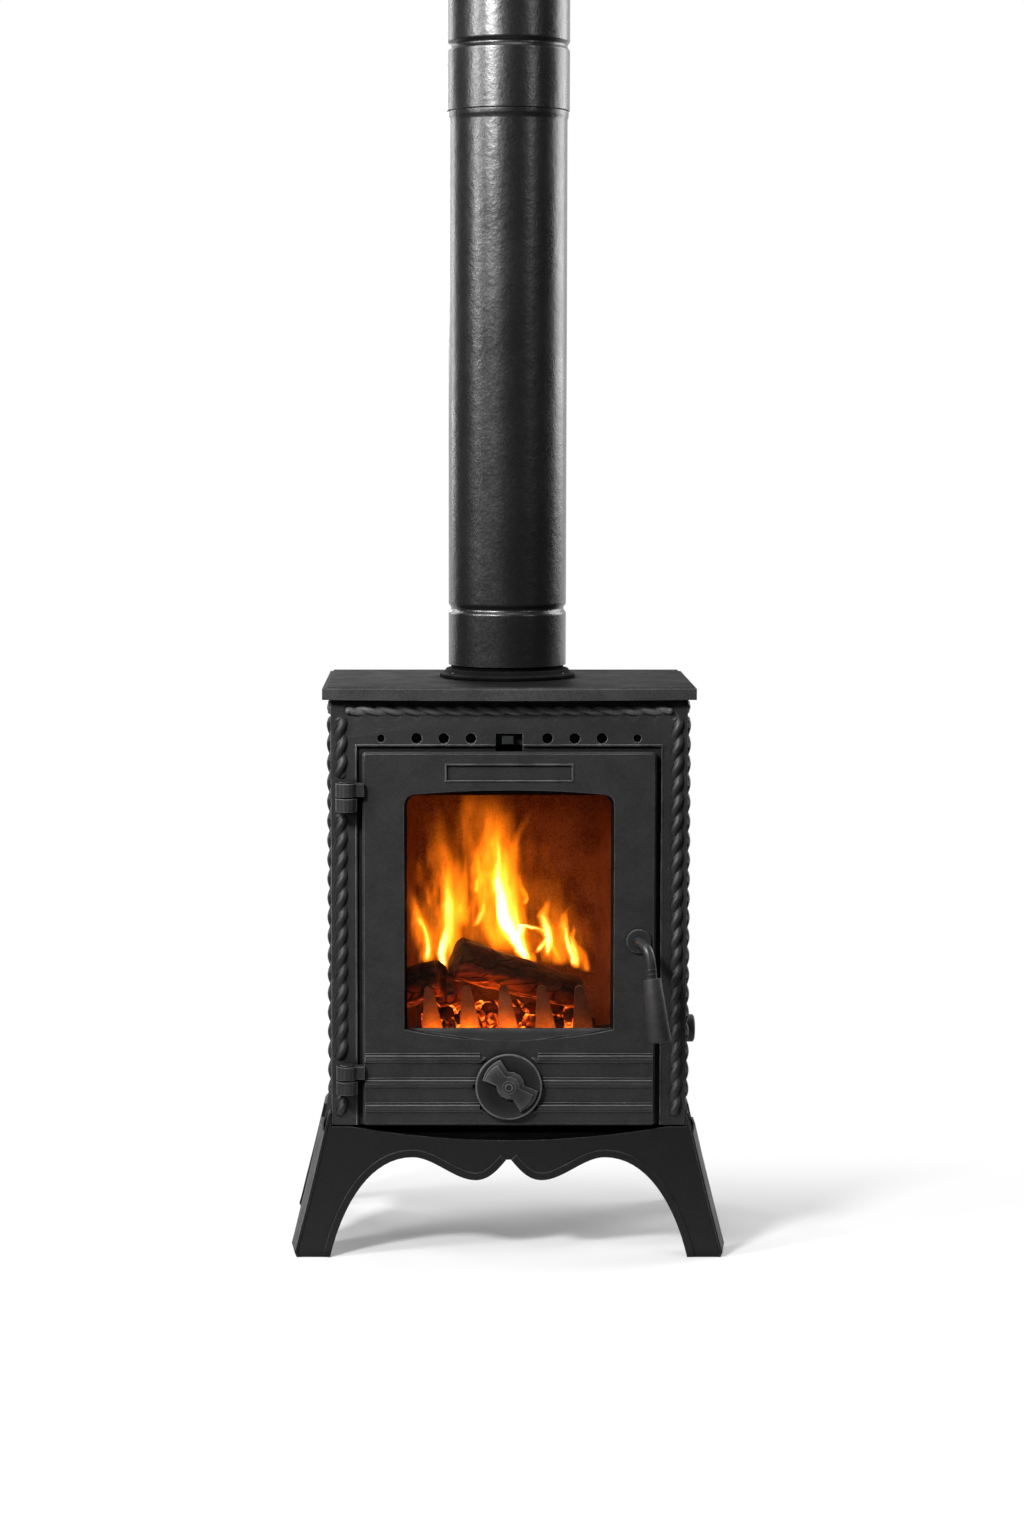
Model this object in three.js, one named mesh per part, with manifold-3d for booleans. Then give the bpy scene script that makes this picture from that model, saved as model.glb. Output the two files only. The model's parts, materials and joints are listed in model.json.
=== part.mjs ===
// A small cast iron wood stove: rope-edged panels on splayed legs, a glazed door, air controls,
// a riddling grate and ash pan inside, and a beaded steel flue pipe on the top plate.
// Millimetres. +X is to the right, +Z is up, and the door faces -Y.
import * as THREE from "three";
import { mergeVertices } from "three/addons/utils/BufferGeometryUtils.js";
import { ConvexGeometry } from "three/addons/geometries/ConvexGeometry.js";
import Module from "manifold-3d";

const wasm = await Module();
wasm.setup();

// Driving dimensions
const bodyWidth = 368;
const bodyDepth = 235;
const bodyHeight = 450;
const bodyBase = 137; // floor to the underside of the cast panels
const frameThickness = 10;
const wallThickness = 8;
const pipeDiameter = 125;

// Clearances
const seatGap = 0.3; // between pieces that rest on each other
const runningGap = 0.6; // between a piece that moves and what carries it
const overrun = 6; // how far a cutter passes the face it cuts

// Facet counts
const pipeSides = 32;
const roundSides = 16;
const smallSides = 10;
const hexSides = 6;
const curveSteps = 6;
const frontStrand = [7, 4]; // sides and rings
const sideStrand = [6, 3];
const cornerSteps = 3;

// The planes that everything is placed from
const frontFace = -bodyDepth / 2;
const rearFace = bodyDepth / 2;
const sideFace = bodyWidth / 2;
const bodyTop = bodyBase + bodyHeight;
const pipeRadius = pipeDiameter / 2;

const ropeSizes = { width: 14.5, pitch: 20.3, proud: 5, strand: 25, slant: 0.6, inset: 10.5 };
const frameSizes = {
  recess: 3,
  recessGap: 5.5,
  land: 7.5,
  sill: 8.5,
  ropeDrop: 20.7,
  lip: 1.6,
  lipProud: 0.8,
};
const airSizes = {
  hole: 11.5,
  first: 39.5,
  step: 28,
  perSide: 3,
  aboveRecess: 8,
  screwInset: 52, // from the body's side face
  screwHole: 8.5,
  screwThread: 5,
  nut: 5,
  nutHeight: 4,
  notchWidth: 28,
  notchHeight: 13,
  travel: 6,
  slide: 3, // thickness of the slide
  slideAbove: 13.25, // from the holes' centres
  slideBelow: 7.8,
  tab: 11.5,
  tabShift: 1.5,
  tabRise: 2.2, // above the notch's lower edge
  tabStem: 2.6,
  tabHeight: 8.1,
};
const doorSizes = {
  sideMargin: 32.5,
  topMargin: 59,
  proud: 9,
  back: 2,
  chamfer: 2,
  corner: 4,
  clearance: 1,
};
const windowSizes = {
  sideRail: 46,
  topRail: 45,
  bottomRail: 101,
  corner: 11,
  bevel: 3,
  bevelDepth: 7,
  archRise: 5,
  sillSag: 12,
};
const ribSizes = { height: 7, proud: 2.2, crest: 3, lowest: 16.7, step: 25.8, count: 3 };
const plaqueSizes = { width: 132, height: 18.6, drop: 21.3, rim: 1.6, depth: 1 };
const glassSizes = { overlap: 9.5, thickness: 4, tape: 5.5, tapeThickness: 1.8 };
const clipSizes = {
  width: 18,
  lap: 8,
  foot: 9,
  strap: 2,
  rise: 31,
  screwHead: 4,
  screw: 2,
  headHeight: 2.4,
  bite: 6,
};
const sealSizes = { width: 6, thickness: 4.4, groove: 4, sink: 0.7 };
const hingeSizes = {
  radius: 11,
  height: 13.5,
  gap: 2,
  pin: 3.6,
  head: 7.2,
  washer: 8,
  axisInset: 16,
  axisProud: 11.5,
  fromTop: 46.4, // door's top edge to the joint between the knuckles
  fromBottom: 48.6,
  rootDepth: 4,
};
const handleSizes = {
  fromEdge: 17.5,
  heightShare: 0.497,
  boss: 12.5,
  bossProud: 3,
  spindle: 4.8,
  rod: 5.4,
  reach: 24,
  grip: 66,
  gripTop: 9.5,
  gripEnd: 11.9,
  gripChamfer: 1.2,
};
const latchSizes = {
  spacer: 7,
  hub: 6.65,
  hubShift: 0.875, // away from the latch's tip
  thickness: 5,
  reach: 7.8,
  tip: 3,
  drop: 3,
  stand: 7,
  nut: 6.3,
  nutHeight: 4,
};
const dialSizes = {
  height: 42, // above the door's lower edge
  radius: 34.7,
  thickness: 6,
  gap: 3,
  rimDrop: 1.5,
  blade: 26.5,
  bladeProud: 1.8,
  hub: 11.9,
  socket: 6,
  socketDepth: 2.4,
  recess: 38,
  stud: 3.4,
  head: 4.4,
  headHeight: 2,
  key: 2,
  spacer: 7,
  vent: 6,
  ventCircle: 20,
  ventCount: 6,
};
const bladeAngle = THREE.MathUtils.degToRad(140);
const bladeSpan = THREE.MathUtils.degToRad(47);

const baseSizes = {
  thickness: 8,
  frontSetback: 7,
  lipWidth: 9,
  lipRise: 12,
  lipTop: 2,
  lipSetback: 12,
};
const topSizes = {
  slab: 8,
  rim: 13.5,
  chamfer: 4,
  sideHang: 8.5,
  frontHang: 8,
  bow: 14,
  rearHang: 5,
  boss: 8,
  bossDrop: 14,
};
const collarSizes = {
  flangeOut: 9.5, // outside the pipe
  flangeHeight: 4.2,
  shoulder: 13,
  coneOut: 3,
  spigot: 34,
  wall: 3.2,
  boltOut: 3.5,
  bolt: 2.4,
  boltHead: 4.6,
  boltHeadHeight: 3.4,
  boltBite: 6,
};
const boltCount = 3;
const pipeSizes = {
  wall: 1.5,
  axisY: 17.5,
  bead: 2.6,
  beadHeight: 9,
  beadFloor: 2,
  lowerBead: 60,
  toSocket: 581,
  swage: 1.2,
  swageHeight: 9,
  lap: 50,
  socketBead: 67,
  upper: 250,
};
const legSizes = {
  topOut: 13, // outside the body's side face
  footOut: 42,
  footIn: 2,
  bendOut: 22,
  topDrop: 1.5, // below the panels
  wall: 7,
  proud: 2, // how far the apron's top stands in front of the body
  splay: 13,
  dip: 13, // how far the apron's top edge dips in the middle
  dipInset: 19, // from the body's side face
  notchDrop: 36,
  notchHalf: 5,
  lobeX: 34.6,
  lobeDrop: 57,
  archInset: 84,
  archDrop: 33.2,
  bandWidth: 7.5,
  bandProud: 1.5,
  footReturn: 42,
  topReturn: 84,
  flare: 5,
  flange: 7.5,
  flangeDepth: 46,
  flangeInset: 8,
  cornerCut: 5,
};
// Where the control points of the apron's curves lie between its lobe, arch and foot.
const apronShares = { notch: 0.333, lobe: 0.588, arch: 0.333, shin: 0.208, ankle: 0.714 };
const tieSizes = { rod: 3, sideInset: 19, endInset: 20.5, head: 5.5, headHeight: 4, bite: 9 };
const linerSizes = {
  outerInset: 26, // from the body's side face
  frontInset: 38,
  rearInset: 86,
  setback: 33.5, // from the body's front face
  rearSetback: 27.5,
  smokeSpace: 102.7, // liner tops to the top of the panels
  backThickness: 16,
};
const grateSizes = {
  bedRise: 59, // above the panels' lower edge
  bedThickness: 8,
  bedMargin: 4,
  thickness: 7,
  sideMargin: 13, // inside the liners' rear corners
  endMargin: 57.5,
  slot: 9,
  slotPitch: 19,
  slotCount: 7,
  slotMargin: 14,
  lug: 9,
  lugWidth: 16,
  socket: 6,
  rodRise: 81,
  rod: 4,
  travel: 20,
};
const knobSizes = { radius: 14.8, length: 13, dome: 3, crown: 0.75, crownShare: 0.8, offset: 5, shank: 6.5 };
const guardSizes = {
  setback: 26, // from the body's front face
  thickness: 6,
  rail: 26,
  railInset: 30, // inside the liners' front corners
  finger: 49,
  fingerBase: 23,
  fingerTip: 5,
  tipLean: 4.5,
  pitch: 39.5,
  count: 5,
};
const baffleSizes = { thickness: 6, sideMargin: 6, depthShare: 0.75, flatShare: 0.25, rise: 28 };
const panSizes = {
  sideMargin: 66,
  endMargin: 29.5,
  height: 40,
  wall: 2,
  lift: 5,
  grip: 60,
  gripReach: 10,
  gripHeight: 14,
};
const coverSizes = {
  hole: 50,
  radius: 66,
  thickness: 6,
  drop: 95, // below the panels' upper edge
  boss: 72,
  bossProud: 3,
  bolt: 3,
  boltHead: 5.5,
  boltHeadHeight: 4,
  boltX: 58,
};

// Places that several pieces share
const doorWidth = bodyWidth - 2 * doorSizes.sideMargin;
const doorBottom = bodyBase + doorSizes.clearance;
const doorTop = bodyTop - doorSizes.topMargin;
const doorHeight = doorTop - doorBottom;
const recessHalf = doorWidth / 2 + frameSizes.recessGap;
const recessTop = doorTop + frameSizes.recessGap;
const openingHalf = doorWidth / 2 - frameSizes.land;
const openingBottom = doorBottom + frameSizes.sill;
const openingTop = doorTop - frameSizes.land;
const doorFront = frontFace - doorSizes.proud;
const doorBack = frontFace + doorSizes.back;
const frameBack = frontFace + frameThickness;
const airHeight = recessTop + airSizes.aboveRecess;
const windowBottom = doorBottom + windowSizes.bottomRail;
const windowTop = doorTop - windowSizes.topRail;
const windowHalf = doorWidth / 2 - windowSizes.sideRail;
const handleX = doorWidth / 2 - handleSizes.fromEdge;
const handleZ = doorBottom + doorHeight * handleSizes.heightShare;
const hingeX = hingeSizes.axisInset - sideFace;
const dialHeight = doorBottom + dialSizes.height;
const dialBack = doorFront - dialSizes.gap;
const dialFront = dialBack - dialSizes.thickness;
const topUnder = bodyTop + seatGap;
const topSurface = topUnder + topSizes.slab;
const rimBottom = topSurface - topSizes.rim;
const collarBase = topSurface + seatGap;
const collarShoulder = collarBase + collarSizes.shoulder;
const collarBoltCircle = pipeRadius + collarSizes.boltOut;
const pipeBore = pipeRadius - pipeSizes.wall;
const spigotRadius = pipeBore * Math.cos(Math.PI / pipeSides) - 2 * seatGap;
const flueBore = spigotRadius - collarSizes.wall;
const pipeFoot = collarShoulder + seatGap;
const socketFoot = pipeFoot + pipeSizes.toSocket;
const upperRadius = pipeRadius / Math.cos(Math.PI / pipeSides) + pipeSizes.wall + 2 * seatGap;
const baseTop = bodyBase - seatGap;
const baseUnder = baseTop - baseSizes.thickness;
const screwX = sideFace - airSizes.screwInset;
const coverHeight = bodyTop - coverSizes.drop;
const grateBedFoot = bodyBase + grateSizes.bedRise;
const grateBedTop = grateBedFoot + grateSizes.bedThickness;
const rodHeight = bodyBase + grateSizes.rodRise;
const linerPlan = {
  outer: sideFace - linerSizes.outerInset,
  frontInner: sideFace - linerSizes.frontInset,
  rearInner: sideFace - linerSizes.rearInset,
  front: frontFace + linerSizes.setback,
  rear: rearFace - linerSizes.rearSetback,
};
const grateWidth = 2 * (linerPlan.rearInner - grateSizes.sideMargin);
const grateDepth = bodyDepth - 2 * grateSizes.endMargin;
const legPlaces = {
  topHalf: sideFace + legSizes.topOut,
  footOuter: sideFace + legSizes.footOut,
  footInner: sideFace + legSizes.footIn,
  outerBend: sideFace + legSizes.bendOut,
  dipHalf: sideFace - legSizes.dipInset,
  archX: sideFace - legSizes.archInset,
  flangeHalf: sideFace - legSizes.flangeInset,
  top: bodyBase - legSizes.topDrop,
  notch: bodyBase - legSizes.notchDrop,
  lobe: bodyBase - legSizes.lobeDrop,
  arch: bodyBase - legSizes.archDrop,
};

// Turns three.js geometry into a solid whose faces point out.
function solid(geometry) {
  const source = geometry.index ? geometry.toNonIndexed() : geometry;
  const bare = new THREE.BufferGeometry();
  bare.setAttribute("position", source.getAttribute("position"));
  const merged = mergeVertices(bare);
  const vertProperties = merged.attributes.position.array;
  const corner = (i) => new THREE.Vector3().fromArray(vertProperties, i * 3);
  const triangles = [];
  let volume = 0;
  for (let i = 0; i < merged.index.count; i += 3) {
    const [a, b, c] = [merged.index.getX(i), merged.index.getX(i + 1), merged.index.getX(i + 2)];
    if (a === b || b === c || c === a) continue;
    triangles.push([a, b, c]);
    volume += corner(a).dot(corner(b).cross(corner(c)));
  }
  const triVerts = Uint32Array.from(triangles.flatMap(([a, b, c]) => (volume < 0 ? [a, c, b] : [a, b, c])));
  return new wasm.Manifold(new wasm.Mesh({ numProp: 3, vertProperties, triVerts }));
}

function geometryOf(body) {
  const { vertProperties, triVerts } = body.getMesh();
  const indexed = new THREE.BufferGeometry();
  indexed.setAttribute("position", new THREE.BufferAttribute(vertProperties, 3));
  indexed.setIndex(new THREE.BufferAttribute(triVerts, 1));
  const geometry = indexed.toNonIndexed();
  geometry.computeVertexNormals();
  return geometry;
}

const joined = (solids) => solids.reduce((all, next) => all.add(next));

function block([x0, x1], [y0, y1], [z0, z1]) {
  const geometry = new THREE.BoxGeometry(x1 - x0, y1 - y0, z1 - z0);
  return solid(geometry.translate((x0 + x1) / 2, (y0 + y1) / 2, (z0 + z1) / 2));
}

function extruded(shape, depth) {
  return new THREE.ExtrudeGeometry(shape, { depth, bevelEnabled: false, curveSegments: curveSteps });
}

// An outline drawn in x and z, extruded between two y planes.
function alongY(shape, y0, y1) {
  return solid(extruded(shape, y1 - y0).rotateX(Math.PI / 2).translate(0, y1, 0));
}

// An outline drawn in y and z, extruded between two x planes.
function alongX(shape, x0, x1) {
  const turn = new THREE.Matrix4().makeBasis(
    new THREE.Vector3(0, 1, 0),
    new THREE.Vector3(0, 0, 1),
    new THREE.Vector3(1, 0, 0),
  );
  return solid(extruded(shape, x1 - x0).applyMatrix4(turn).translate(x0, 0, 0));
}

// An outline drawn in x and y, extruded between two z planes.
function alongZ(shape, z0, z1) {
  return solid(extruded(shape, z1 - z0).translate(0, 0, z0));
}

function polygon(points) {
  return new THREE.Shape(points.map(([u, v]) => new THREE.Vector2(u, v)));
}

function disc(u, v, radius, sides = roundSides) {
  const angle = (i) => (2 * Math.PI * (i + 0.5)) / sides;
  const points = Array.from({ length: sides }, (_, i) => [
    u + radius * Math.cos(angle(i)),
    v + radius * Math.sin(angle(i)),
  ]);
  return polygon(points);
}

// A profile of [radius, height] points turned about the Z axis.
function turnedZ(profile, sides = roundSides) {
  const points = profile.map(([radius, height]) => new THREE.Vector2(radius, height));
  return solid(new THREE.LatheGeometry(points, sides).rotateX(Math.PI / 2));
}

// A profile of [radius, distance] points turned about the Y axis.
function turnedY(profile, sides = roundSides) {
  const points = profile.map(([radius, distance]) => new THREE.Vector2(radius, distance));
  return solid(new THREE.LatheGeometry(points, sides));
}

// A profile of [radius, distance] points turned about the X axis.
function turnedX(profile, sides = roundSides) {
  const points = profile.map(([radius, distance]) => new THREE.Vector2(radius, distance));
  return solid(new THREE.LatheGeometry(points, sides).rotateZ(-Math.PI / 2));
}

function hullOf(points) {
  return solid(new ConvexGeometry(points));
}

const at = (body, x, y, z) => body.translate([x, y, z]);

// A rectangle drawn in x and z with its corners rounded.
function roundedPoints(halfWidth, bottom, top, radius, bottomRadius = radius, steps = cornerSteps) {
  const shape = new THREE.Shape();
  shape.absarc(halfWidth - radius, top - radius, radius, 0, Math.PI / 2);
  shape.absarc(radius - halfWidth, top - radius, radius, Math.PI / 2, Math.PI);
  shape.absarc(bottomRadius - halfWidth, bottom + bottomRadius, bottomRadius, Math.PI, 1.5 * Math.PI);
  shape.absarc(halfWidth - bottomRadius, bottom + bottomRadius, bottomRadius, 1.5 * Math.PI, 2 * Math.PI);
  return shape.getPoints(steps);
}

// Cast rope: slanted ovals, half sunk in the panel, one every pitch along a straight run.
function ropeRun(from, to, outward, [sides, rings], skips = []) {
  const along = to.clone().sub(from).normalize();
  const across = along.clone().cross(outward);
  const length = to.distanceTo(from);
  const count = Math.max(1, Math.round(length / ropeSizes.pitch));
  const lean = across.clone().multiplyScalar(Math.sin(ropeSizes.slant));
  const axis = along.clone().multiplyScalar(Math.cos(ropeSizes.slant)).add(lean);
  const basis = new THREE.Matrix4().makeBasis(axis.clone().cross(outward).negate(), axis, outward);
  const strands = [];
  for (let i = 0; i < count; i += 1) {
    const centre = from.clone().addScaledVector(along, ((i + 0.5) * length) / count);
    if (skips.some(([low, high]) => centre.z > low && centre.z < high)) continue;
    const oval = new THREE.SphereGeometry(1, sides, rings);
    oval.scale(ropeSizes.width / 2 - 2 * seatGap, ropeSizes.strand / 2, ropeSizes.proud);
    strands.push(solid(oval.applyMatrix4(basis).translate(centre.x, centre.y, centre.z)));
  }
  return joined(strands);
}

// Front frame
const hingeAxisY = frontFace - hingeSizes.axisProud;
const hingeJoints = { upper: doorTop - hingeSizes.fromTop, lower: doorBottom + hingeSizes.fromBottom };
const knuckleReach = hingeSizes.height + hingeSizes.gap / 2;

// A hinge knuckle between two heights, with its arm towards the plate that carries it.
function knuckle(low, high, armTo, armBack) {
  const barrel = alongZ(disc(hingeX, hingeAxisY, hingeSizes.radius), low, high);
  const arm = block([hingeX, armTo], [hingeAxisY - hingeSizes.rootDepth, armBack], [low, high]);
  const pinHole = disc(hingeX, hingeAxisY, hingeSizes.pin + runningGap);
  return barrel.add(arm).subtract(alongZ(pinHole, low - overrun, high + overrun));
}

function frontFrame() {
  const ropeX = sideFace - ropeSizes.inset;
  const ropeZ = rimBottom - frameSizes.ropeDrop + ropeSizes.width / 2;
  const out = new THREE.Vector3(0, -1, 0);
  const corner = (x, z) => new THREE.Vector3(x, frontFace, z);
  const skipHalf = knuckleReach + ropeSizes.pitch / 2;
  const skips = Object.values(hingeJoints).map((z) => [z - skipHalf, z + skipHalf]);
  const ropeFoot = bodyBase + ropeSizes.width / 2;
  const ropeHead = ropeZ - ropeSizes.width / 2;
  let frame = block([-sideFace, sideFace], [frontFace, frameBack], [bodyBase, bodyTop]);
  frame = frame.add(ropeRun(corner(-ropeX, ropeFoot), corner(-ropeX, ropeHead), out, frontStrand, skips));
  frame = frame.add(ropeRun(corner(ropeX, ropeFoot), corner(ropeX, ropeHead), out, frontStrand));
  frame = frame.add(ropeRun(corner(-ropeX, ropeZ), corner(ropeX, ropeZ), out, frontStrand));
  const lipHalf = recessHalf + frameSizes.lip;
  const lipTop = recessTop + frameSizes.lip;
  const recessBack = frontFace + frameSizes.recess;
  const through = [frontFace - overrun, frameBack + overrun];
  const lipSpan = [frontFace - frameSizes.lipProud, frameBack];
  frame = frame.add(block([-lipHalf, lipHalf], lipSpan, [bodyBase, lipTop]));
  const recessSpan = [frontFace - overrun, recessBack];
  frame = frame.subtract(block([-recessHalf, recessHalf], recessSpan, [bodyBase - overrun, recessTop]));
  frame = frame.subtract(block([-openingHalf, openingHalf], through, [openingBottom, openingTop]));
  for (let i = 0; i < airSizes.perSide; i += 1) {
    for (const side of [-1, 1]) {
      const x = side * (airSizes.first + i * airSizes.step);
      frame = frame.subtract(alongY(disc(x, airHeight, airSizes.hole / 2, smallSides), ...through));
    }
  }
  for (const side of [-1, 1]) {
    const hole = disc(side * screwX, airHeight, airSizes.screwHole / 2, smallSides);
    frame = frame.subtract(alongY(hole, ...through));
  }
  const notchHalf = airSizes.notchWidth / 2;
  const notchTop = recessTop + airSizes.notchHeight;
  frame = frame.subtract(block([-notchHalf, notchHalf], through, [recessTop - overrun, notchTop]));
  for (const z of Object.values(hingeJoints)) {
    const low = z - hingeSizes.gap / 2 - hingeSizes.height;
    const high = z - hingeSizes.gap / 2;
    const cutTop = high + hingeSizes.height + 2 * hingeSizes.gap;
    const clearance = disc(hingeX, hingeAxisY, hingeSizes.radius + runningGap);
    frame = frame.subtract(alongZ(clearance, high, cutTop));
    frame = frame.add(knuckle(low, high, -recessHalf, frontFace + seatGap));
  }
  return frame;
}

// Side panels, with cast rope down both edges and along the top
function sidePanel(side) {
  const inner = sideFace - wallThickness;
  const front = frameBack + seatGap;
  const rear = rearFace - wallThickness - seatGap;
  const out = new THREE.Vector3(side, 0, 0);
  const corner = (y, z) => new THREE.Vector3(side * sideFace, y, z);
  const ropeZ = rimBottom - ropeSizes.inset;
  const ropeHead = ropeZ - ropeSizes.width / 2;
  const ropeFoot = baseTop + baseSizes.lipRise + ropeSizes.strand / 2;
  const [frontRope, rearRope] = [front + ropeSizes.inset, rear - ropeSizes.inset];
  const across = side < 0 ? [-sideFace, -inner] : [inner, sideFace];
  let panel = block(across, [front, rear], [bodyBase, bodyTop]);
  panel = panel.add(ropeRun(corner(frontRope, ropeFoot), corner(frontRope, ropeHead), out, sideStrand));
  panel = panel.add(ropeRun(corner(rearRope, ropeFoot), corner(rearRope, ropeHead), out, sideStrand));
  panel = panel.add(ropeRun(corner(rearRope, ropeZ), corner(frontRope, ropeZ), out, sideStrand));
  if (side > 0) {
    const hole = disc(0, rodHeight, grateSizes.rod + runningGap, smallSides);
    panel = panel.subtract(alongX(hole, inner - overrun, sideFace + overrun));
  }
  return panel;
}

function rearPanel() {
  const inner = rearFace - wallThickness;
  let panel = block([-sideFace, sideFace], [inner, rearFace], [bodyBase, bodyTop]);
  const through = [inner - overrun, rearFace + overrun];
  const boss = disc(0, coverHeight, coverSizes.boss, pipeSides);
  panel = panel.add(alongY(boss, inner, rearFace + coverSizes.bossProud));
  panel = panel.subtract(alongY(disc(0, coverHeight, coverSizes.hole, pipeSides), ...through));
  for (const side of [-1, 1]) {
    const hole = disc(side * coverSizes.boltX, coverHeight, coverSizes.bolt + seatGap, smallSides);
    panel = panel.subtract(alongY(hole, ...through));
  }
  return panel;
}

const coverFace = rearFace + coverSizes.bossProud + seatGap;

function outletCover() {
  const outline = disc(0, coverHeight, coverSizes.radius, pipeSides);
  let plate = alongY(outline, coverFace, coverFace + coverSizes.thickness);
  for (const side of [-1, 1]) {
    const hole = disc(side * coverSizes.boltX, coverHeight, coverSizes.bolt + seatGap, smallSides);
    plate = plate.subtract(alongY(hole, coverFace - overrun, coverFace + coverSizes.thickness + overrun));
  }
  return plate;
}

function coverBolt(side) {
  const head = coverFace + coverSizes.thickness + seatGap;
  const x = side * coverSizes.boltX;
  const shankEnd = head + coverSizes.boltHeadHeight / 2;
  const shank = alongY(disc(x, coverHeight, coverSizes.bolt, smallSides), rearFace - wallThickness, shankEnd);
  const hexagon = disc(x, coverHeight, coverSizes.boltHead, hexSides);
  return shank.add(alongY(hexagon, head, head + coverSizes.boltHeadHeight));
}

// Base plate with the two side lips that hold the side panels
function basePlate() {
  const front = frontFace + baseSizes.frontSetback;
  const rear = rearFace - baseSizes.frontSetback;
  let plate = block([-sideFace, sideFace], [front, rear], [baseUnder, baseTop]);
  for (const side of [-1, 1]) {
    const inner = sideFace + seatGap;
    const outer = inner + baseSizes.lipWidth;
    const lip = polygon([
      [side * (inner - overrun), baseUnder],
      [side * outer, baseUnder],
      [side * outer, baseTop],
      [side * (inner + baseSizes.lipTop), baseTop + baseSizes.lipRise],
      [side * inner, baseTop + baseSizes.lipRise],
      [side * inner, baseTop],
      [side * (inner - overrun), baseTop],
    ]);
    plate = plate.add(alongY(lip, frontFace + baseSizes.lipSetback, rearFace - baseSizes.lipSetback));
  }
  for (const [x, y] of tiePlaces()) {
    const hole = disc(x, y, tieSizes.rod + seatGap, smallSides);
    plate = plate.subtract(alongZ(hole, baseUnder - overrun, baseTop + overrun));
  }
  return plate;
}

function tiePlaces() {
  const [x, y] = [sideFace - tieSizes.sideInset, rearFace - tieSizes.endInset];
  return [-1, 1].flatMap((side) => [-1, 1].map((end) => [side * x, end * y]));
}

// Top plate: a bow-fronted slab whose rim hangs over the panels
function topOutline(inset, z) {
  const half = sideFace + topSizes.sideHang - inset;
  const front = frontFace - topSizes.frontHang + inset;
  const rear = rearFace + topSizes.rearHang - inset;
  const bow = new THREE.QuadraticBezierCurve(
    new THREE.Vector2(half, front),
    new THREE.Vector2(0, front - 2 * topSizes.bow),
    new THREE.Vector2(-half, front),
  );
  const back = [new THREE.Vector2(-half, rear), new THREE.Vector2(half, rear)];
  const points = [...back, ...bow.getPoints(2 * curveSteps)];
  return points.map((p) => new THREE.Vector3(p.x, p.y, z));
}

function topPlate() {
  const shoulder = topSurface - topSizes.chamfer;
  const rim = [...topOutline(0, rimBottom), ...topOutline(0, shoulder)];
  const shell = hullOf([...rim, ...topOutline(topSizes.chamfer, topSurface)]);
  const [half, front, rear] = [sideFace + seatGap, frontFace - seatGap, rearFace + seatGap];
  const under = block([-half, half], [front, rear], [rimBottom - overrun, topUnder]);
  let plate = shell.subtract(under);
  for (const [x, y] of tiePlaces()) {
    const bossFoot = topUnder - topSizes.bossDrop;
    plate = plate.add(alongZ(disc(x, y, topSizes.boss, smallSides), bossFoot, topUnder + topSizes.slab / 2));
    const hole = disc(x, y, tieSizes.rod + seatGap, smallSides);
    plate = plate.subtract(alongZ(hole, bossFoot - overrun, bossFoot + tieSizes.bite));
  }
  const flue = disc(0, pipeSizes.axisY, flueBore, pipeSides);
  plate = plate.subtract(alongZ(flue, rimBottom - overrun, topSurface + overrun));
  for (const [x, y] of collarBoltPlaces()) {
    const hole = disc(x, y, collarSizes.bolt + seatGap, smallSides);
    plate = plate.subtract(alongZ(hole, rimBottom - overrun, topSurface + overrun));
  }
  return plate;
}

// Flue collar and its bolts, which come up through the top plate
function collarBoltPlaces() {
  return Array.from({ length: boltCount }, (_, i) => {
    const angle = (2 * Math.PI * i) / boltCount + Math.PI / 2;
    return [collarBoltCircle * Math.cos(angle), pipeSizes.axisY + collarBoltCircle * Math.sin(angle)];
  });
}

function flueCollar() {
  const flange = pipeRadius + collarSizes.flangeOut;
  const profile = [
    [flueBore, collarBase],
    [flange, collarBase],
    [flange, collarBase + collarSizes.flangeHeight],
    [pipeRadius + collarSizes.coneOut, collarShoulder],
    [spigotRadius, collarShoulder],
    [spigotRadius, collarShoulder + collarSizes.spigot],
    [flueBore, collarShoulder + collarSizes.spigot],
    [flueBore, collarBase],
  ];
  let collar = at(turnedZ(profile, pipeSides), 0, pipeSizes.axisY, 0);
  for (const [x, y] of collarBoltPlaces()) {
    const hole = disc(x, y, collarSizes.bolt + seatGap, smallSides);
    collar = collar.subtract(alongZ(hole, collarBase - overrun, collarBase + collarSizes.boltBite + seatGap));
  }
  return collar;
}

function collarBolt(index) {
  const [x, y] = collarBoltPlaces()[index];
  const head = topUnder - seatGap;
  const { bolt, boltHead, boltHeadHeight, boltBite } = collarSizes;
  const shank = alongZ(disc(x, y, bolt, smallSides), head - boltHeadHeight / 2, collarBase + boltBite);
  return shank.add(alongZ(disc(x, y, boltHead, hexSides), head - boltHeadHeight, head));
}

// Flue pipe lengths: an inward bead is rolled near each joint
function beadPoints(radius, centre) {
  return [
    [radius, centre - pipeSizes.beadHeight / 2],
    [radius - pipeSizes.bead, centre - pipeSizes.beadFloor / 2],
    [radius - pipeSizes.bead, centre + pipeSizes.beadFloor / 2],
    [radius, centre + pipeSizes.beadHeight / 2],
  ];
}

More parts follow.
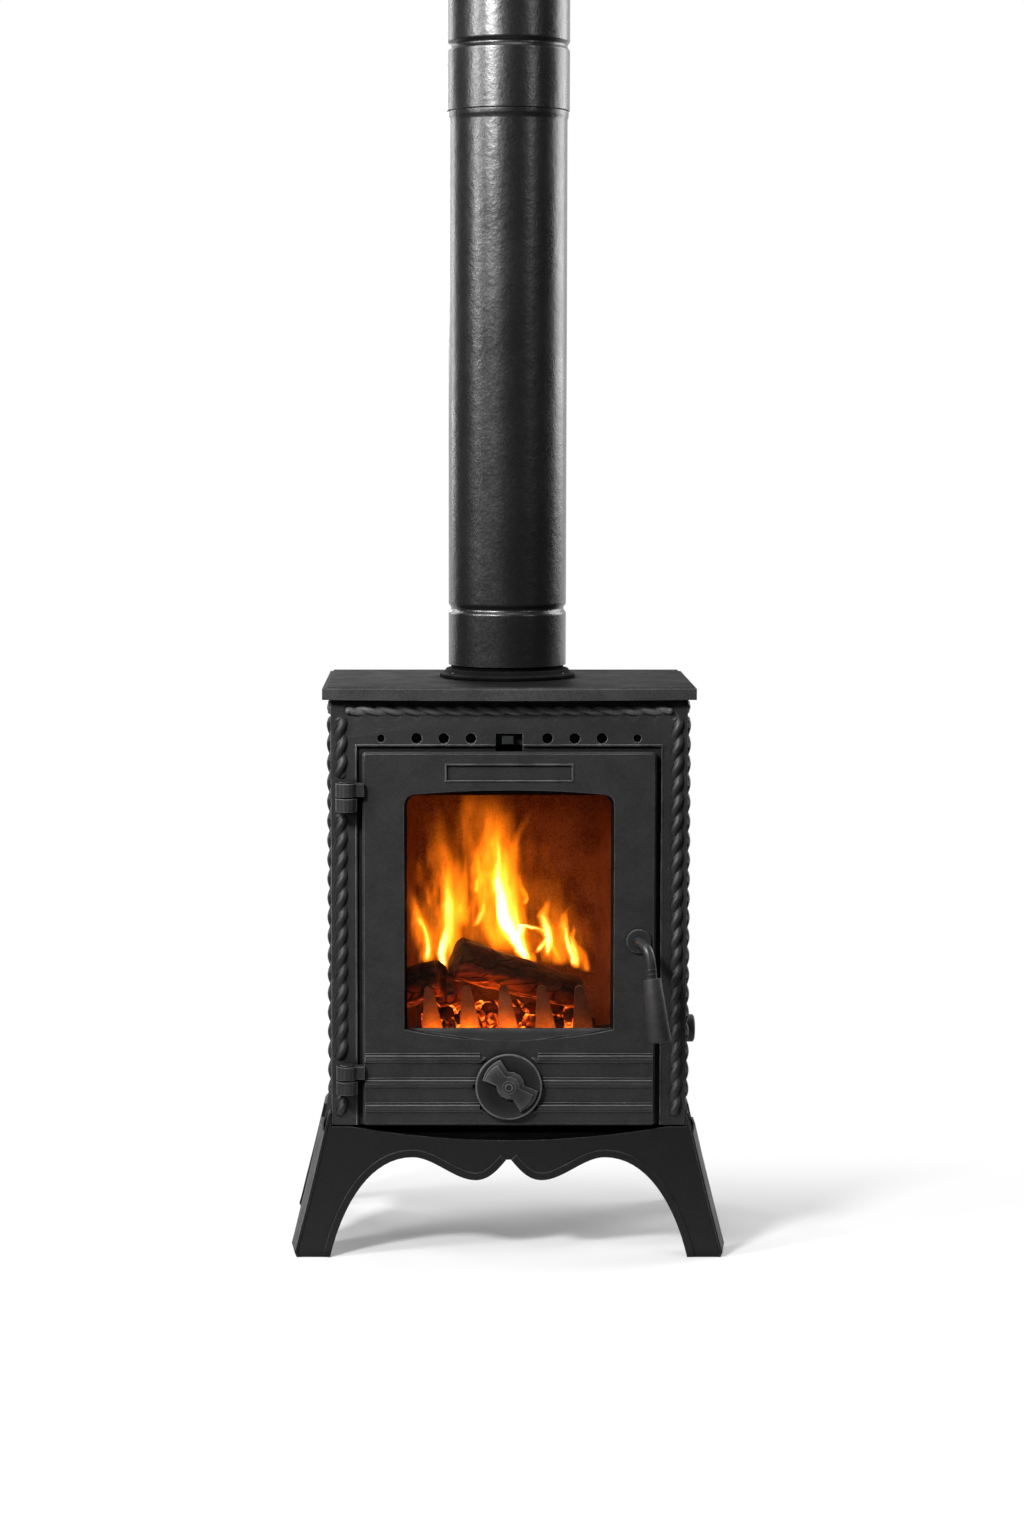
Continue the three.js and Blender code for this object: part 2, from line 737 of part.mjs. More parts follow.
function pipeLower() {
  const top = socketFoot + pipeSizes.lap;
  const bead = pipeFoot + pipeSizes.lowerBead;
  const swageTop = socketFoot - seatGap;
  const outer = [
    [pipeRadius, pipeFoot],
    ...beadPoints(pipeRadius, bead),
    [pipeRadius, swageTop - pipeSizes.swageHeight],
    [pipeRadius + pipeSizes.swage, swageTop - pipeSizes.swageHeight / 2],
    [pipeRadius + pipeSizes.swage, swageTop],
    [pipeRadius, swageTop],
    [pipeRadius, top],
  ];
  const inner = [[pipeBore, top], ...beadPoints(pipeBore, bead).reverse(), [pipeBore, pipeFoot]];
  return at(turnedZ([...outer, ...inner, outer[0]], pipeSides), 0, pipeSizes.axisY, 0);
}

function pipeUpper() {
  const top = socketFoot + pipeSizes.upper;
  const bead = socketFoot + pipeSizes.socketBead;
  const bore = upperRadius - pipeSizes.wall;
  const outer = [[upperRadius, socketFoot], ...beadPoints(upperRadius, bead), [upperRadius, top]];
  const inner = [[bore, top], ...beadPoints(bore, bead).reverse(), [bore, socketFoot]];
  return at(turnedZ([...outer, ...inner, outer[0]], pipeSides), 0, pipeSizes.axisY, 0);
}

// Leg castings: a scalloped apron between two splayed legs that turn back at the sides
function legEdge() {
  const edge = new THREE.Path();
  const { lobe, archX, arch, footInner, notch } = legPlaces;
  const { lobeX, notchHalf } = legSizes;
  const span = archX - lobeX;
  const ease = span * apronShares.arch;
  const shin = footInner - span * apronShares.shin;
  edge.moveTo(notchHalf, notch);
  const [rise, crest] = [lobeX * apronShares.notch, lobeX * apronShares.lobe];
  edge.bezierCurveTo(rise, (notch + lobe) / 2, crest, lobe, lobeX, lobe);
  edge.bezierCurveTo(lobeX + ease, lobe, archX - ease, arch, archX, arch);
  edge.bezierCurveTo((archX + footInner) / 2, arch, shin, lobe * apronShares.ankle, footInner, 0);
  return edge.getPoints(curveSteps);
}

function legOuter() {
  const { topHalf, footOuter, outerBend, top } = legPlaces;
  const { cornerCut } = legSizes;
  const outer = new THREE.Path();
  outer.moveTo(footOuter - cornerCut / 2, 0);
  outer.lineTo(footOuter, cornerCut);
  outer.quadraticCurveTo(outerBend, top / 2, topHalf, top - cornerCut);
  return outer.getPoints(curveSteps);
}

// The strip between a line of points and the same line moved sideways.
function strip(points, width) {
  const moved = points.map((p, i) => {
    const before = points[Math.max(0, i - 1)];
    const after = points[Math.min(points.length - 1, i + 1)];
    const normal = new THREE.Vector2(before.y - after.y, after.x - before.x).normalize();
    return p.clone().addScaledVector(normal, width);
  });
  return new THREE.Shape([...points, ...moved.reverse()]);
}

const mirrored = (points) => points.map((p) => new THREE.Vector2(-p.x, p.y));

function legCasting(end) {
  const front = frontFace - legSizes.proud;
  const back = front + legSizes.wall;
  const edge = legEdge();
  const outer = legOuter();
  const { top, topHalf, dipHalf, flangeHalf } = legPlaces;
  const { cornerCut, dip, flare, footReturn, topReturn, flange, flangeDepth } = legSizes;
  const head = new THREE.Vector2(topHalf - cornerCut, top);
  const half = [...edge, ...outer, head];
  const outline = new THREE.Shape([...half, ...mirrored(half).reverse()]);
  const mirror = (body, side) => (side < 0 ? body.mirror([1, 0, 0]) : body);
  let casting = alongY(outline, front, back);
  for (const side of [-1, 1]) {
    const bead = strip(edge, legSizes.bandWidth);
    casting = casting.add(mirror(alongY(bead, front - legSizes.bandProud, back), side));
    const wall = alongY(strip(outer, legSizes.wall), front + seatGap, front + topReturn);
    const flared = wall.warp((v) => {
      v[0] += (flare / footReturn) * (v[1] - front);
    });
    casting = casting.add(mirror(flared, side));
  }
  const flangeTop = baseUnder - seatGap;
  const flangeSpan = [front + seatGap, back + flangeDepth];
  casting = casting.add(block([-flangeHalf, flangeHalf], flangeSpan, [flangeTop - flange, flangeTop]));
  const baseFront = frontFace + baseSizes.frontSetback - seatGap;
  const wide = [-2 * sideFace, 2 * sideFace];
  casting = casting.subtract(block(wide, [baseFront, bodyDepth], [flangeTop, top + overrun]));
  const hollow = new THREE.Shape();
  hollow.moveTo(-dipHalf, top);
  hollow.quadraticCurveTo(0, top - 2 * dip, dipHalf, top);
  hollow.lineTo(dipHalf, top + overrun);
  hollow.lineTo(-dipHalf, top + overrun);
  casting = casting.subtract(alongY(hollow, front - overrun, baseFront + overrun));
  const behind = front + footReturn;
  const deepest = front + topReturn;
  const curve = new THREE.Shape();
  curve.moveTo(behind, -overrun);
  curve.lineTo(behind, 0);
  curve.quadraticCurveTo(behind + overrun, legPlaces.lobe, deepest, legPlaces.arch);
  curve.lineTo(deepest + overrun, legPlaces.arch);
  curve.lineTo(deepest + overrun, -overrun);
  casting = casting.subtract(alongX(curve, ...wide));
  const slope = legSizes.splay / top;
  casting = casting.warp((v) => {
    v[1] -= slope * (top - v[2]);
  });
  casting = casting.subtract(block(wide, [2 * frontFace, 2 * rearFace], [-2 * overrun, 0]));
  for (const [x, y] of tiePlaces()) {
    const hole = disc(x, y, tieSizes.rod + seatGap, smallSides);
    casting = casting.subtract(alongZ(hole, flangeTop - flange - overrun, flangeTop + overrun));
  }
  return end < 0 ? casting : casting.mirror([0, 1, 0]);
}

// Tie bolts clamp the top plate, panels, base and legs together
function tieBolt([x, y]) {
  const top = topUnder - topSizes.bossDrop + tieSizes.bite - seatGap;
  const seat = baseUnder - 2 * seatGap - legSizes.flange;
  const shank = alongZ(disc(x, y, tieSizes.rod, smallSides), seat - tieSizes.headHeight / 2, top);
  return shank.add(alongZ(disc(x, y, tieSizes.head, hexSides), seat - tieSizes.headHeight, seat));
}

// Door casting
function windowOpening() {
  const { corner, bevel, bevelDepth, archRise, sillSag } = windowSizes;
  const layer = (points, y) => points.map((p) => new THREE.Vector3(p.x, y, p.y));
  const throat = roundedPoints(windowHalf, windowBottom, windowTop, corner, bevel, curveSteps);
  const mouth = new THREE.Shape();
  const half = windowHalf + bevel;
  mouth.moveTo(half, windowBottom);
  mouth.lineTo(half, windowTop - corner);
  mouth.quadraticCurveTo(half, windowTop, half - corner, windowTop + bevel / 2);
  mouth.quadraticCurveTo(0, windowTop + 2 * archRise, corner - half, windowTop + bevel / 2);
  mouth.quadraticCurveTo(-half, windowTop, -half, windowTop - corner);
  mouth.lineTo(-half, windowBottom);
  mouth.quadraticCurveTo(0, windowBottom - 2 * sillSag, half, windowBottom);
  const mouthPoints = mouth.getPoints(2 * curveSteps);
  const flared = hullOf([
    ...layer(mouthPoints, doorFront - seatGap),
    ...layer(throat, doorFront + bevelDepth),
  ]);
  const straight = hullOf([...layer(throat, doorFront), ...layer(throat, doorBack + overrun)]);
  return flared.add(straight);
}

// A flat ring drawn in x and z between two rectangles.
function ring(outerHalf, outerBottom, outerTop, width, y0, y1) {
  const outer = block([-outerHalf, outerHalf], [y0, y1], [outerBottom, outerTop]);
  const innerHalf = outerHalf - width;
  const hole = [outerBottom + width, outerTop - width];
  const inner = block([-innerHalf, innerHalf], [y0 - overrun, y1 + overrun], hole);
  return outer.subtract(inner);
}

const sealOuter = openingHalf + sealSizes.sink + sealSizes.width;
const sealBottom = openingBottom - sealSizes.sink - sealSizes.width;
const sealTop = openingTop + sealSizes.sink + sealSizes.width;

function ribBar(z) {
  const { height, proud, crest } = ribSizes;
  const bar = polygon([
    [doorFront + doorSizes.chamfer, z - height / 2],
    [doorFront + doorSizes.chamfer, z + height / 2],
    [doorFront, z + height / 2],
    [doorFront - proud, z + crest / 2],
    [doorFront - proud, z - crest / 2],
    [doorFront, z - height / 2],
  ]);
  return alongX(bar, doorSizes.chamfer - doorWidth / 2, doorWidth / 2 - doorSizes.chamfer);
}

function doorCasting() {
  const half = doorWidth / 2;
  const { chamfer, corner } = doorSizes;
  const through = [doorFront - overrun, doorBack + overrun];
  const layer = (inset, y) => {
    const outline = roundedPoints(half - inset, doorBottom + inset, doorTop - inset, corner);
    return outline.map((p) => new THREE.Vector3(p.x, y, p.y));
  };
  let door = hullOf([...layer(0, doorBack), ...layer(0, doorFront + chamfer), ...layer(chamfer, doorFront)]);
  for (let i = 0; i < ribSizes.count; i += 1) {
    door = door.add(ribBar(doorBottom + ribSizes.lowest + i * ribSizes.step));
  }
  const dialSeat = disc(0, dialHeight, dialSizes.recess, pipeSides);
  door = door.subtract(alongY(dialSeat, doorFront - overrun, doorFront));
  door = door.subtract(windowOpening());
  const plaqueTop = doorTop - plaqueSizes.drop + plaqueSizes.height / 2;
  const plaqueBottom = plaqueTop - plaqueSizes.height;
  const { width, rim, depth } = plaqueSizes;
  door = door.add(ring(width / 2, plaqueBottom, plaqueTop, rim, doorFront - depth, doorFront + rim));
  for (const z of Object.values(hingeJoints)) {
    const low = z + hingeSizes.gap / 2;
    const armBack = frontFace - frameSizes.lipProud - runningGap;
    door = door.add(knuckle(low, low + hingeSizes.height, chamfer - half, armBack));
  }
  const boss = disc(handleX, handleZ, handleSizes.boss);
  door = door.add(alongY(boss, doorFront - handleSizes.bossProud, doorFront + chamfer));
  door = door.subtract(alongY(disc(handleX, handleZ, handleSizes.spindle + runningGap), ...through));
  door = door.subtract(alongY(disc(0, dialHeight, dialSizes.stud + seatGap, smallSides), ...through));
  const { vent, ventCircle, ventCount } = dialSizes;
  for (let i = 0; i < ventCount; i += 1) {
    const angle = (2 * Math.PI * i) / ventCount;
    const [x, z] = [ventCircle * Math.cos(angle), dialHeight + ventCircle * Math.sin(angle)];
    door = door.subtract(alongY(disc(x, z, vent, smallSides), ...through));
  }
  const grooveSide = sealSizes.width + 2 * seatGap;
  const depths = [doorBack - sealSizes.groove, doorBack + overrun];
  const groove = ring(sealOuter + seatGap, sealBottom - seatGap, sealTop + seatGap, grooveSide, ...depths);
  door = door.subtract(groove);
  door = door.subtract(glassRing(seatGap, doorBack - glassSizes.tapeThickness - seatGap, doorBack + overrun));
  for (const [x, z] of clipPlaces()) {
    const hole = disc(x, z, clipSizes.screw + seatGap, smallSides);
    door = door.subtract(alongY(hole, doorBack - clipSizes.bite - seatGap, doorBack + overrun));
  }
  return door;
}

// Glass, its tape and its clips, on the back of the door
const glassHalf = windowHalf + glassSizes.overlap;
const glassBottom = windowBottom - glassSizes.overlap;
const glassTop = windowTop + glassSizes.overlap;
const glassFront = doorBack + seatGap;
const glassBack = glassFront + glassSizes.thickness;

function glassRing(grow, y0, y1) {
  return ring(glassHalf + grow, glassBottom - grow, glassTop + grow, glassSizes.tape + 2 * grow, y0, y1);
}

function glassPane() {
  return block([-glassHalf, glassHalf], [glassFront, glassBack], [glassBottom, glassTop]);
}

function clipPlaces() {
  const x = glassHalf + clipSizes.foot / 2 + 2 * seatGap;
  const heights = [windowBottom + clipSizes.rise, windowTop - clipSizes.rise];
  return [-1, 1].flatMap((side) => heights.map((z) => [side * x, z]));
}

function glassClip([x, z]) {
  const side = Math.sign(x);
  const outer = Math.abs(x) + clipSizes.foot / 2;
  const foot = Math.abs(x) - clipSizes.foot / 2;
  const strapFront = glassBack + seatGap;
  const outline = polygon([
    [side * outer, doorBack + seatGap],
    [side * outer, strapFront + clipSizes.strap],
    [side * (glassHalf - clipSizes.lap), strapFront + clipSizes.strap],
    [side * (glassHalf - clipSizes.lap), strapFront],
    [side * foot, strapFront],
    [side * foot, doorBack + seatGap],
  ]);
  const clip = alongZ(outline, z - clipSizes.width / 2, z + clipSizes.width / 2);
  const hole = disc(x, z, clipSizes.screw + seatGap, smallSides);
  return clip.subtract(alongY(hole, doorBack - overrun, strapFront + clipSizes.strap + overrun));
}

function clipScrew([x, z]) {
  const seat = glassBack + 2 * seatGap + clipSizes.strap;
  const { screw, screwHead, headHeight, bite } = clipSizes;
  const shank = alongY(disc(x, z, screw, smallSides), doorBack - bite, seat + headHeight / 2);
  return shank.add(alongY(disc(x, z, screwHead, smallSides), seat, seat + headHeight));
}

function doorSeal() {
  const front = doorBack - sealSizes.groove + seatGap;
  return ring(sealOuter, sealBottom, sealTop, sealSizes.width, front, front + sealSizes.thickness);
}

// Hinge pins, fixed in the frame's knuckles, and the washers that the door turns on
function hingePin(z) {
  const { gap, pin } = hingeSizes;
  const high = z + knuckleReach;
  const head = alongZ(disc(hingeX, hingeAxisY, hingeSizes.head), high + seatGap, high + gap);
  return alongZ(disc(hingeX, hingeAxisY, pin), z - knuckleReach - gap / 2, high + gap / 2).add(head);
}

function hingeWasher(z) {
  const half = hingeSizes.gap / 2 - seatGap;
  const washer = alongZ(disc(hingeX, hingeAxisY, hingeSizes.washer), z - half, z + half);
  const bore = disc(hingeX, hingeAxisY, hingeSizes.pin + seatGap);
  return washer.subtract(alongZ(bore, z - overrun, z + overrun));
}

// Door handle: a bent rod on a spindle through the door, with a tapered grip
function handleCurve() {
  const [x, z] = [handleX, handleZ];
  const { rod, reach, bossProud } = handleSizes;
  const mouth = doorFront - bossProud - rod / 2;
  const places = [
    [0, 0, 0],
    [0.2, reach / 2, 0.2],
    [1.2, reach, -0.4],
    [1.9, reach + rod, -2.6],
    [2.1, reach + 1.4 * rod, -5.6],
    [2.4, reach + 1.7 * rod, -8],
  ];
  return new THREE.CatmullRomCurve3(
    places.map(([right, out, rise]) => new THREE.Vector3(x + right * rod, mouth - out, z + rise * rod)),
  );
}

function handleRod() {
  const path = handleCurve();
  const section = disc(0, 0, handleSizes.rod, smallSides);
  const sweep = { extrudePath: path, steps: 2 * curveSteps, bevelEnabled: false };
  const bent = solid(new THREE.ExtrudeGeometry(section, sweep));
  const tail = doorBack + latchSizes.stand + latchSizes.thickness + latchSizes.nutHeight + 2 * seatGap;
  const mouth = doorFront - handleSizes.bossProud - handleSizes.rod;
  const spindle = alongY(disc(handleX, handleZ, handleSizes.spindle), mouth, tail);
  return bent.add(spindle);
}

function handleGrip() {
  const path = handleCurve();
  const end = path.getPoint(1);
  const heading = path.getTangent(1);
  const { grip, gripTop, gripEnd, gripChamfer, rod } = handleSizes;
  const profile = [
    [0, 0],
    [gripTop - gripChamfer, 0],
    [gripTop, gripChamfer],
    [gripEnd, grip - gripChamfer],
    [gripEnd - gripChamfer, grip],
    [0, grip],
  ];
  const socket = disc(0, 0, rod + seatGap, smallSides);
  const bore = solid(extruded(socket, 3 * rod).rotateX(-Math.PI / 2).translate(0, -rod, 0));
  const turn = new THREE.Quaternion().setFromUnitVectors(new THREE.Vector3(0, 1, 0), heading);
  const start = end.clone().addScaledVector(heading, -2 * rod + seatGap);
  const place = new THREE.Matrix4().compose(start, turn, new THREE.Vector3(1, 1, 1));
  return turnedY(profile, roundSides).subtract(bore).transform(place.toArray());
}

function latchCam() {
  const front = doorBack + latchSizes.stand;
  const [x, z] = [handleX, handleZ];
  const { hub, hubShift, thickness, reach, tip, drop } = latchSizes;
  const ringPoints = (shape, y) => shape.getPoints().map((p) => new THREE.Vector3(p.x, y, p.y));
  const cam = hullOf(
    [front, front + thickness].flatMap((y) => [
      ...ringPoints(disc(x - hubShift, z, hub, smallSides), y),
      ...ringPoints(disc(x + reach - tip, z - drop, tip, smallSides), y),
    ]),
  );
  const bore = disc(x, z, handleSizes.spindle + seatGap);
  return cam.subtract(alongY(bore, front - overrun, front + thickness + overrun));
}

function latchNut() {
  const front = doorBack + latchSizes.stand + latchSizes.thickness + seatGap;
  const nut = alongY(disc(handleX, handleZ, latchSizes.nut, hexSides), front, front + latchSizes.nutHeight);
  const bore = disc(handleX, handleZ, handleSizes.spindle + seatGap);
  return nut.subtract(alongY(bore, front - overrun, front + 2 * overrun));
}

function latchSpacer() {
  const [x, z] = [handleX, handleZ];
  const [front, back] = [doorBack + seatGap, doorBack + latchSizes.stand - seatGap];
  return alongY(disc(x, z, latchSizes.spacer), front, back).subtract(
    alongY(disc(x, z, handleSizes.spindle + runningGap), front - overrun, back + overrun),
  );
}

// Air dial on the door: a cast disc with a two-bladed grip, on a stud
function bladeShape(centreAngle) {
  const blade = new THREE.Shape();
  const [low, high] = [centreAngle - bladeSpan / 2, centreAngle + bladeSpan / 2];
  blade.moveTo(0, 0);
  blade.lineTo(dialSizes.blade * Math.cos(low), dialSizes.blade * Math.sin(low));
  blade.absarc(0, 0, dialSizes.blade, low, high);
  blade.lineTo(0, 0);
  return new THREE.Shape(blade.getPoints(curveSteps).slice(0, -1));
}

function airDial() {
  const { radius, thickness, rimDrop, hub, bladeProud, socket, socketDepth, stud } = dialSizes;
  const face = dialFront;
  const profile = [
    [0, face],
    [radius - rimDrop, face],
    [radius, face + rimDrop],
    [radius, face + thickness],
    [0, face + thickness],
  ];
  const plate = turnedY(profile, pipeSides);
  const raised = [
    alongY(bladeShape(bladeAngle), face - bladeProud, face + rimDrop),
    alongY(bladeShape(bladeAngle + Math.PI), face - bladeProud, face + rimDrop),
    alongY(disc(0, 0, hub, roundSides), face - bladeProud, face + rimDrop),
  ];
  const socketFloor = face - bladeProud + socketDepth;
  const dial = joined([plate, ...raised])
    .subtract(alongY(disc(0, 0, socket, roundSides), face - bladeProud - overrun, socketFloor))
    .subtract(alongY(disc(0, 0, stud + runningGap, smallSides), face - overrun, face + thickness + overrun));
  return at(dial, 0, 0, dialHeight);
}

function dialScrew() {
  const { bladeProud, socketDepth, head, headHeight, key, stud } = dialSizes;
  const seat = dialFront - bladeProud + socketDepth - seatGap;
  const shank = alongY(disc(0, dialHeight, stud, smallSides), seat - headHeight / 2, doorBack + stud);
  const top = alongY(disc(0, dialHeight, head, smallSides), seat - headHeight, seat);
  const keyHole = disc(0, dialHeight, key, hexSides);
  return shank.add(top).subtract(alongY(keyHole, seat - headHeight - overrun, seat - headHeight / 2));
}

function dialSpacer() {
  const [front, back] = [dialBack + seatGap, doorFront - seatGap];
  return alongY(disc(0, dialHeight, dialSizes.spacer), front, back).subtract(
    alongY(disc(0, dialHeight, dialSizes.stud + seatGap, smallSides), front - overrun, back + overrun),
  );
}

// Top air slide, behind the front frame's row of holes
const slideFront = frameBack + runningGap;
const slideBack = slideFront + airSizes.slide;

function airSlide() {
  const { hole, first, step, perSide, screwThread, travel, slideAbove, slideBelow } = airSizes;
  const half = screwX + travel + screwThread;
  const through = [slideFront - overrun, slideBack + overrun];
  let slide = block([-half, half], [slideFront, slideBack], [airHeight - slideBelow, airHeight + slideAbove]);
  for (const side of [-1, 1]) {
    for (let i = 0; i < perSide; i += 1) {
      const port = disc(side * (first + i * step) + travel, airHeight, hole / 2, smallSides);
      slide = slide.subtract(alongY(port, ...through));
    }
    const x = side * screwX;
    const clear = screwThread / 2 + runningGap;
    const reach = travel + clear;
    slide = slide.subtract(block([x - reach, x + reach], through, [airHeight - clear, airHeight + clear]));
  }
  const { tab, tabShift, tabRise, tabStem, tabHeight } = airSizes;
  const across = [-tab / 2 - tabShift, tab / 2 - tabShift];
  const [front, low] = [frontFace - runningGap, recessTop + tabRise];
  return slide
    .add(block(across, [front, slideBack], [low, low + tabStem]))
    .add(block(across, [front, frontFace + frameSizes.recess], [low, low + tabHeight]));
}

function slideScrew(side) {
  const x = side * screwX;
  const headDisc = disc(x, airHeight, airSizes.screwHole / 2 - seatGap, smallSides);
  const shankDisc = disc(x, airHeight, airSizes.screwThread / 2, smallSides);
  const tip = slideBack + runningGap + airSizes.screwThread;
  const head = alongY(headDisc, frontFace + frameSizes.recess, frameBack);
  return head.add(alongY(shankDisc, frameBack - seatGap, tip));
}

function slideNut(side) {
  const x = side * screwX;
  const back = slideBack + runningGap;
  const nut = alongY(disc(x, airHeight, airSizes.nut, hexSides), back, back + airSizes.nutHeight);
  const bore = disc(x, airHeight, airSizes.screwThread / 2 + seatGap, smallSides);
  return nut.subtract(alongY(bore, back - overrun, back + overrun));
}

// Grate bed, riddling grate and its pull rod
function grateBed() {
  const half = sideFace - wallThickness - 2 * seatGap;
  const front = frameBack + seatGap;
  const rear = rearFace - wallThickness - seatGap;
  const through = [grateBedFoot - overrun, grateBedTop + overrun];
  let bed = block([-half, half], [front, rear], [grateBedFoot, grateBedTop]);
  const openHalf = grateWidth / 2 + grateSizes.bedMargin;
  const openDepth = grateDepth / 2 - grateSizes.slotMargin / 2;
  bed = bed.subtract(block([-openHalf, openHalf], [-openDepth, openDepth], through));
  for (const [x, y] of tiePlaces()) {
    bed = bed.subtract(alongZ(disc(x, y, tieSizes.rod + seatGap, smallSides), ...through));
  }
  const skirtTop = grateBedFoot + grateSizes.bedThickness / 2;
  for (const across of [[-half, wallThickness - half], [half - wallThickness, half]]) {
    bed = bed.add(block(across, [-grateDepth / 2, grateDepth / 2], [bodyBase, skirtTop]));
  }
  return bed;
}

function riddlingGrate() {
  const { thickness, slot, slotPitch, slotCount, slotMargin, lug, lugWidth, socket, rod } = grateSizes;
  const [halfWidth, halfDepth] = [grateWidth / 2, grateDepth / 2];
  const low = grateBedTop + seatGap;
  let grate = block([-halfWidth, halfWidth], [-halfDepth, halfDepth], [low, low + thickness]);
  const slotSpan = [slotMargin - halfDepth, halfDepth - slotMargin];
  const through = [low - overrun, low + thickness + overrun];
  for (let i = 0; i < slotCount; i += 1) {
    const x = (i - (slotCount - 1) / 2) * slotPitch;
    grate = grate.subtract(block([x - slot / 2, x + slot / 2], slotSpan, through));
  }
  const lugTop = rodHeight + rod + thickness / 2;
  grate = grate.add(block([halfWidth - lug, halfWidth], [-lugWidth / 2, lugWidth / 2], [low, lugTop]));
  const bore = disc(0, rodHeight, rod + seatGap, smallSides);
  return grate.subtract(alongX(bore, halfWidth - socket, halfWidth + overrun));
}

const knobInner = sideFace + knobSizes.offset;

function riddlingRod() {
  const inner = grateWidth / 2 - grateSizes.socket + seatGap;
  return alongX(disc(0, rodHeight, grateSizes.rod, smallSides), inner, knobInner + knobSizes.length / 2);
}

function riddlingKnob() {
  const { radius, length, dome, crown, crownShare, shank } = knobSizes;
  const profile = [
    [0, 0],
    [shank, 0],
    [shank, dome / 2],
    [radius - dome / 2, dome / 2],
    [radius, dome],
    [radius, length - dome],
    [radius * crownShare, length - crown],
    [0, length],
  ];
  const knob = at(turnedX(profile), knobInner, 0, rodHeight);
  const bore = disc(0, rodHeight, grateSizes.rod + seatGap, smallSides);
  return knob.subtract(alongX(bore, knobInner - overrun, knobInner + length / 2 + seatGap));
}

// Log guard: a rail with leaning fingers behind the glass
function logGuard() {
  const { setback, thickness, rail, railInset, pitch, count } = guardSizes;
  const { finger, fingerBase, fingerTip, tipLean } = guardSizes;
  const [front, back] = [frontFace + setback, frontFace + setback + thickness];
  const railHalf = linerPlan.frontInner - railInset;
  const low = grateBedTop + seatGap;
  const railTop = low + rail;
  const outline = new THREE.Shape();
  outline.moveTo(-railHalf, low);
  outline.lineTo(railHalf, low);
  outline.lineTo(railHalf, railTop);
  for (let i = count - 1; i >= 0; i -= 1) {
    const x = (i - (count - 1) / 2) * pitch;
    const tip = railTop + finger - fingerTip;
    outline.lineTo(x + fingerBase / 2, railTop);
    outline.lineTo(x - tipLean + fingerTip, tip);
    outline.absarc(x - tipLean, tip, fingerTip, 0, Math.PI);
    outline.lineTo(x - fingerBase / 2, railTop);
  }
  outline.lineTo(-railHalf, railTop);
  return alongY(outline, front, back);
}

// Firebox liners and baffle
const linerFoot = grateBedTop + seatGap;
const linerTop = bodyTop - linerSizes.smokeSpace;

function sideLiner(side) {
  const { outer, frontInner, rearInner, front, rear } = linerPlan;
  const plan = polygon([
    [side * frontInner, front],
    [side * outer, front],
    [side * outer, rear],
    [side * rearInner, rear],
  ]);
  const liner = alongZ(plan, linerFoot, linerTop);
  if (side < 0) return liner;
  const clear = disc(0, rodHeight, grateSizes.rod + runningGap, smallSides);
  return liner.subtract(alongX(clear, rearInner, outer + overrun));
}

function rearLiner() {
  const { outer, rear } = linerPlan;
  const front = rear + seatGap;
  return block([-outer, outer], [front, front + linerSizes.backThickness], [linerFoot, linerTop]);
}

function bafflePlate() {
  const z = linerTop + seatGap;
  const back = linerPlan.rear;
  const { thickness, sideMargin, depthShare, flatShare, rise } = baffleSizes;
  const depth = (back - linerPlan.front) * depthShare;
  const flat = depth * flatShare;
  const halfWidth = linerPlan.outer - sideMargin;
  const outline = polygon([
    [back, z],
    [back, z + thickness],
    [back - flat, z + thickness],
    [back - depth, z + thickness + rise],
    [back - depth, z + rise],
    [back - flat, z],
  ]);
  return alongX(outline, -halfWidth, halfWidth);
}

// Ash pan with a pull bent from its front wall
const panFloor = baseTop + seatGap;

function ashPan() {
  const { height, wall, lift, grip, gripReach, gripHeight } = panSizes;
  const halfWidth = sideFace - panSizes.sideMargin;
  const halfDepth = bodyDepth / 2 - panSizes.endMargin;
  const [front, low] = [-halfDepth, panFloor];
  const level = (inset, z) => [
    new THREE.Vector3(inset - halfWidth, inset - halfDepth, z),
    new THREE.Vector3(halfWidth - inset, inset - halfDepth, z),
    new THREE.Vector3(halfWidth - inset, halfDepth - inset, z),
    new THREE.Vector3(inset - halfWidth, halfDepth - inset, z),
  ];
  const slope = (wall * lift) / height;
  const outer = hullOf([...level(lift, low), ...level(0, low + height)]);
  const inner = hullOf([...level(lift + wall, low + wall), ...level(wall - slope, low + height + wall)]);
  const gripLow = low + height / 2 - gripHeight / 2;
  const bar = (x0, x1, y0, y1) => block([x0, x1], [y0, y1], [gripLow, gripLow + gripHeight]);
  const face = front + lift / 2;
  const pull = bar(-grip / 2, grip / 2, front - gripReach, front - gripReach + wall)
    .add(bar(-grip / 2, wall - grip / 2, front - gripReach, face + wall / 2))
    .add(bar(grip / 2 - wall, grip / 2, front - gripReach, face + wall / 2));
  return outer.add(pull).subtract(inner);
}

// Finishes
const castIron = new THREE.MeshStandardMaterial({ color: 0x343536, roughness: 0.62, metalness: 0.35 });
const enamelSteel = new THREE.MeshStandardMaterial({ color: 0x2b2c2d, roughness: 0.38, metalness: 0.5 });
const firedIron = new THREE.MeshStandardMaterial({ color: 0x3a302b, roughness: 0.85, metalness: 0.2 });
const zincSteel = new THREE.MeshStandardMaterial({ color: 0x6f7072, roughness: 0.45, metalness: 0.8 });
const rodSteel = new THREE.MeshStandardMaterial({ color: 0x3c3d3f, roughness: 0.35, metalness: 0.7 });
const gripCoat = new THREE.MeshStandardMaterial({ color: 0x38393a, roughness: 0.7, metalness: 0.1 });
const sealRope = new THREE.MeshStandardMaterial({ color: 0x4a4a48, roughness: 0.95, metalness: 0 });
const ceramicGlass = new THREE.MeshStandardMaterial({
  color: 0xe6dccb,
  roughness: 0.05,
  metalness: 0,
  transparent: true,
  opacity: 0.3,
});
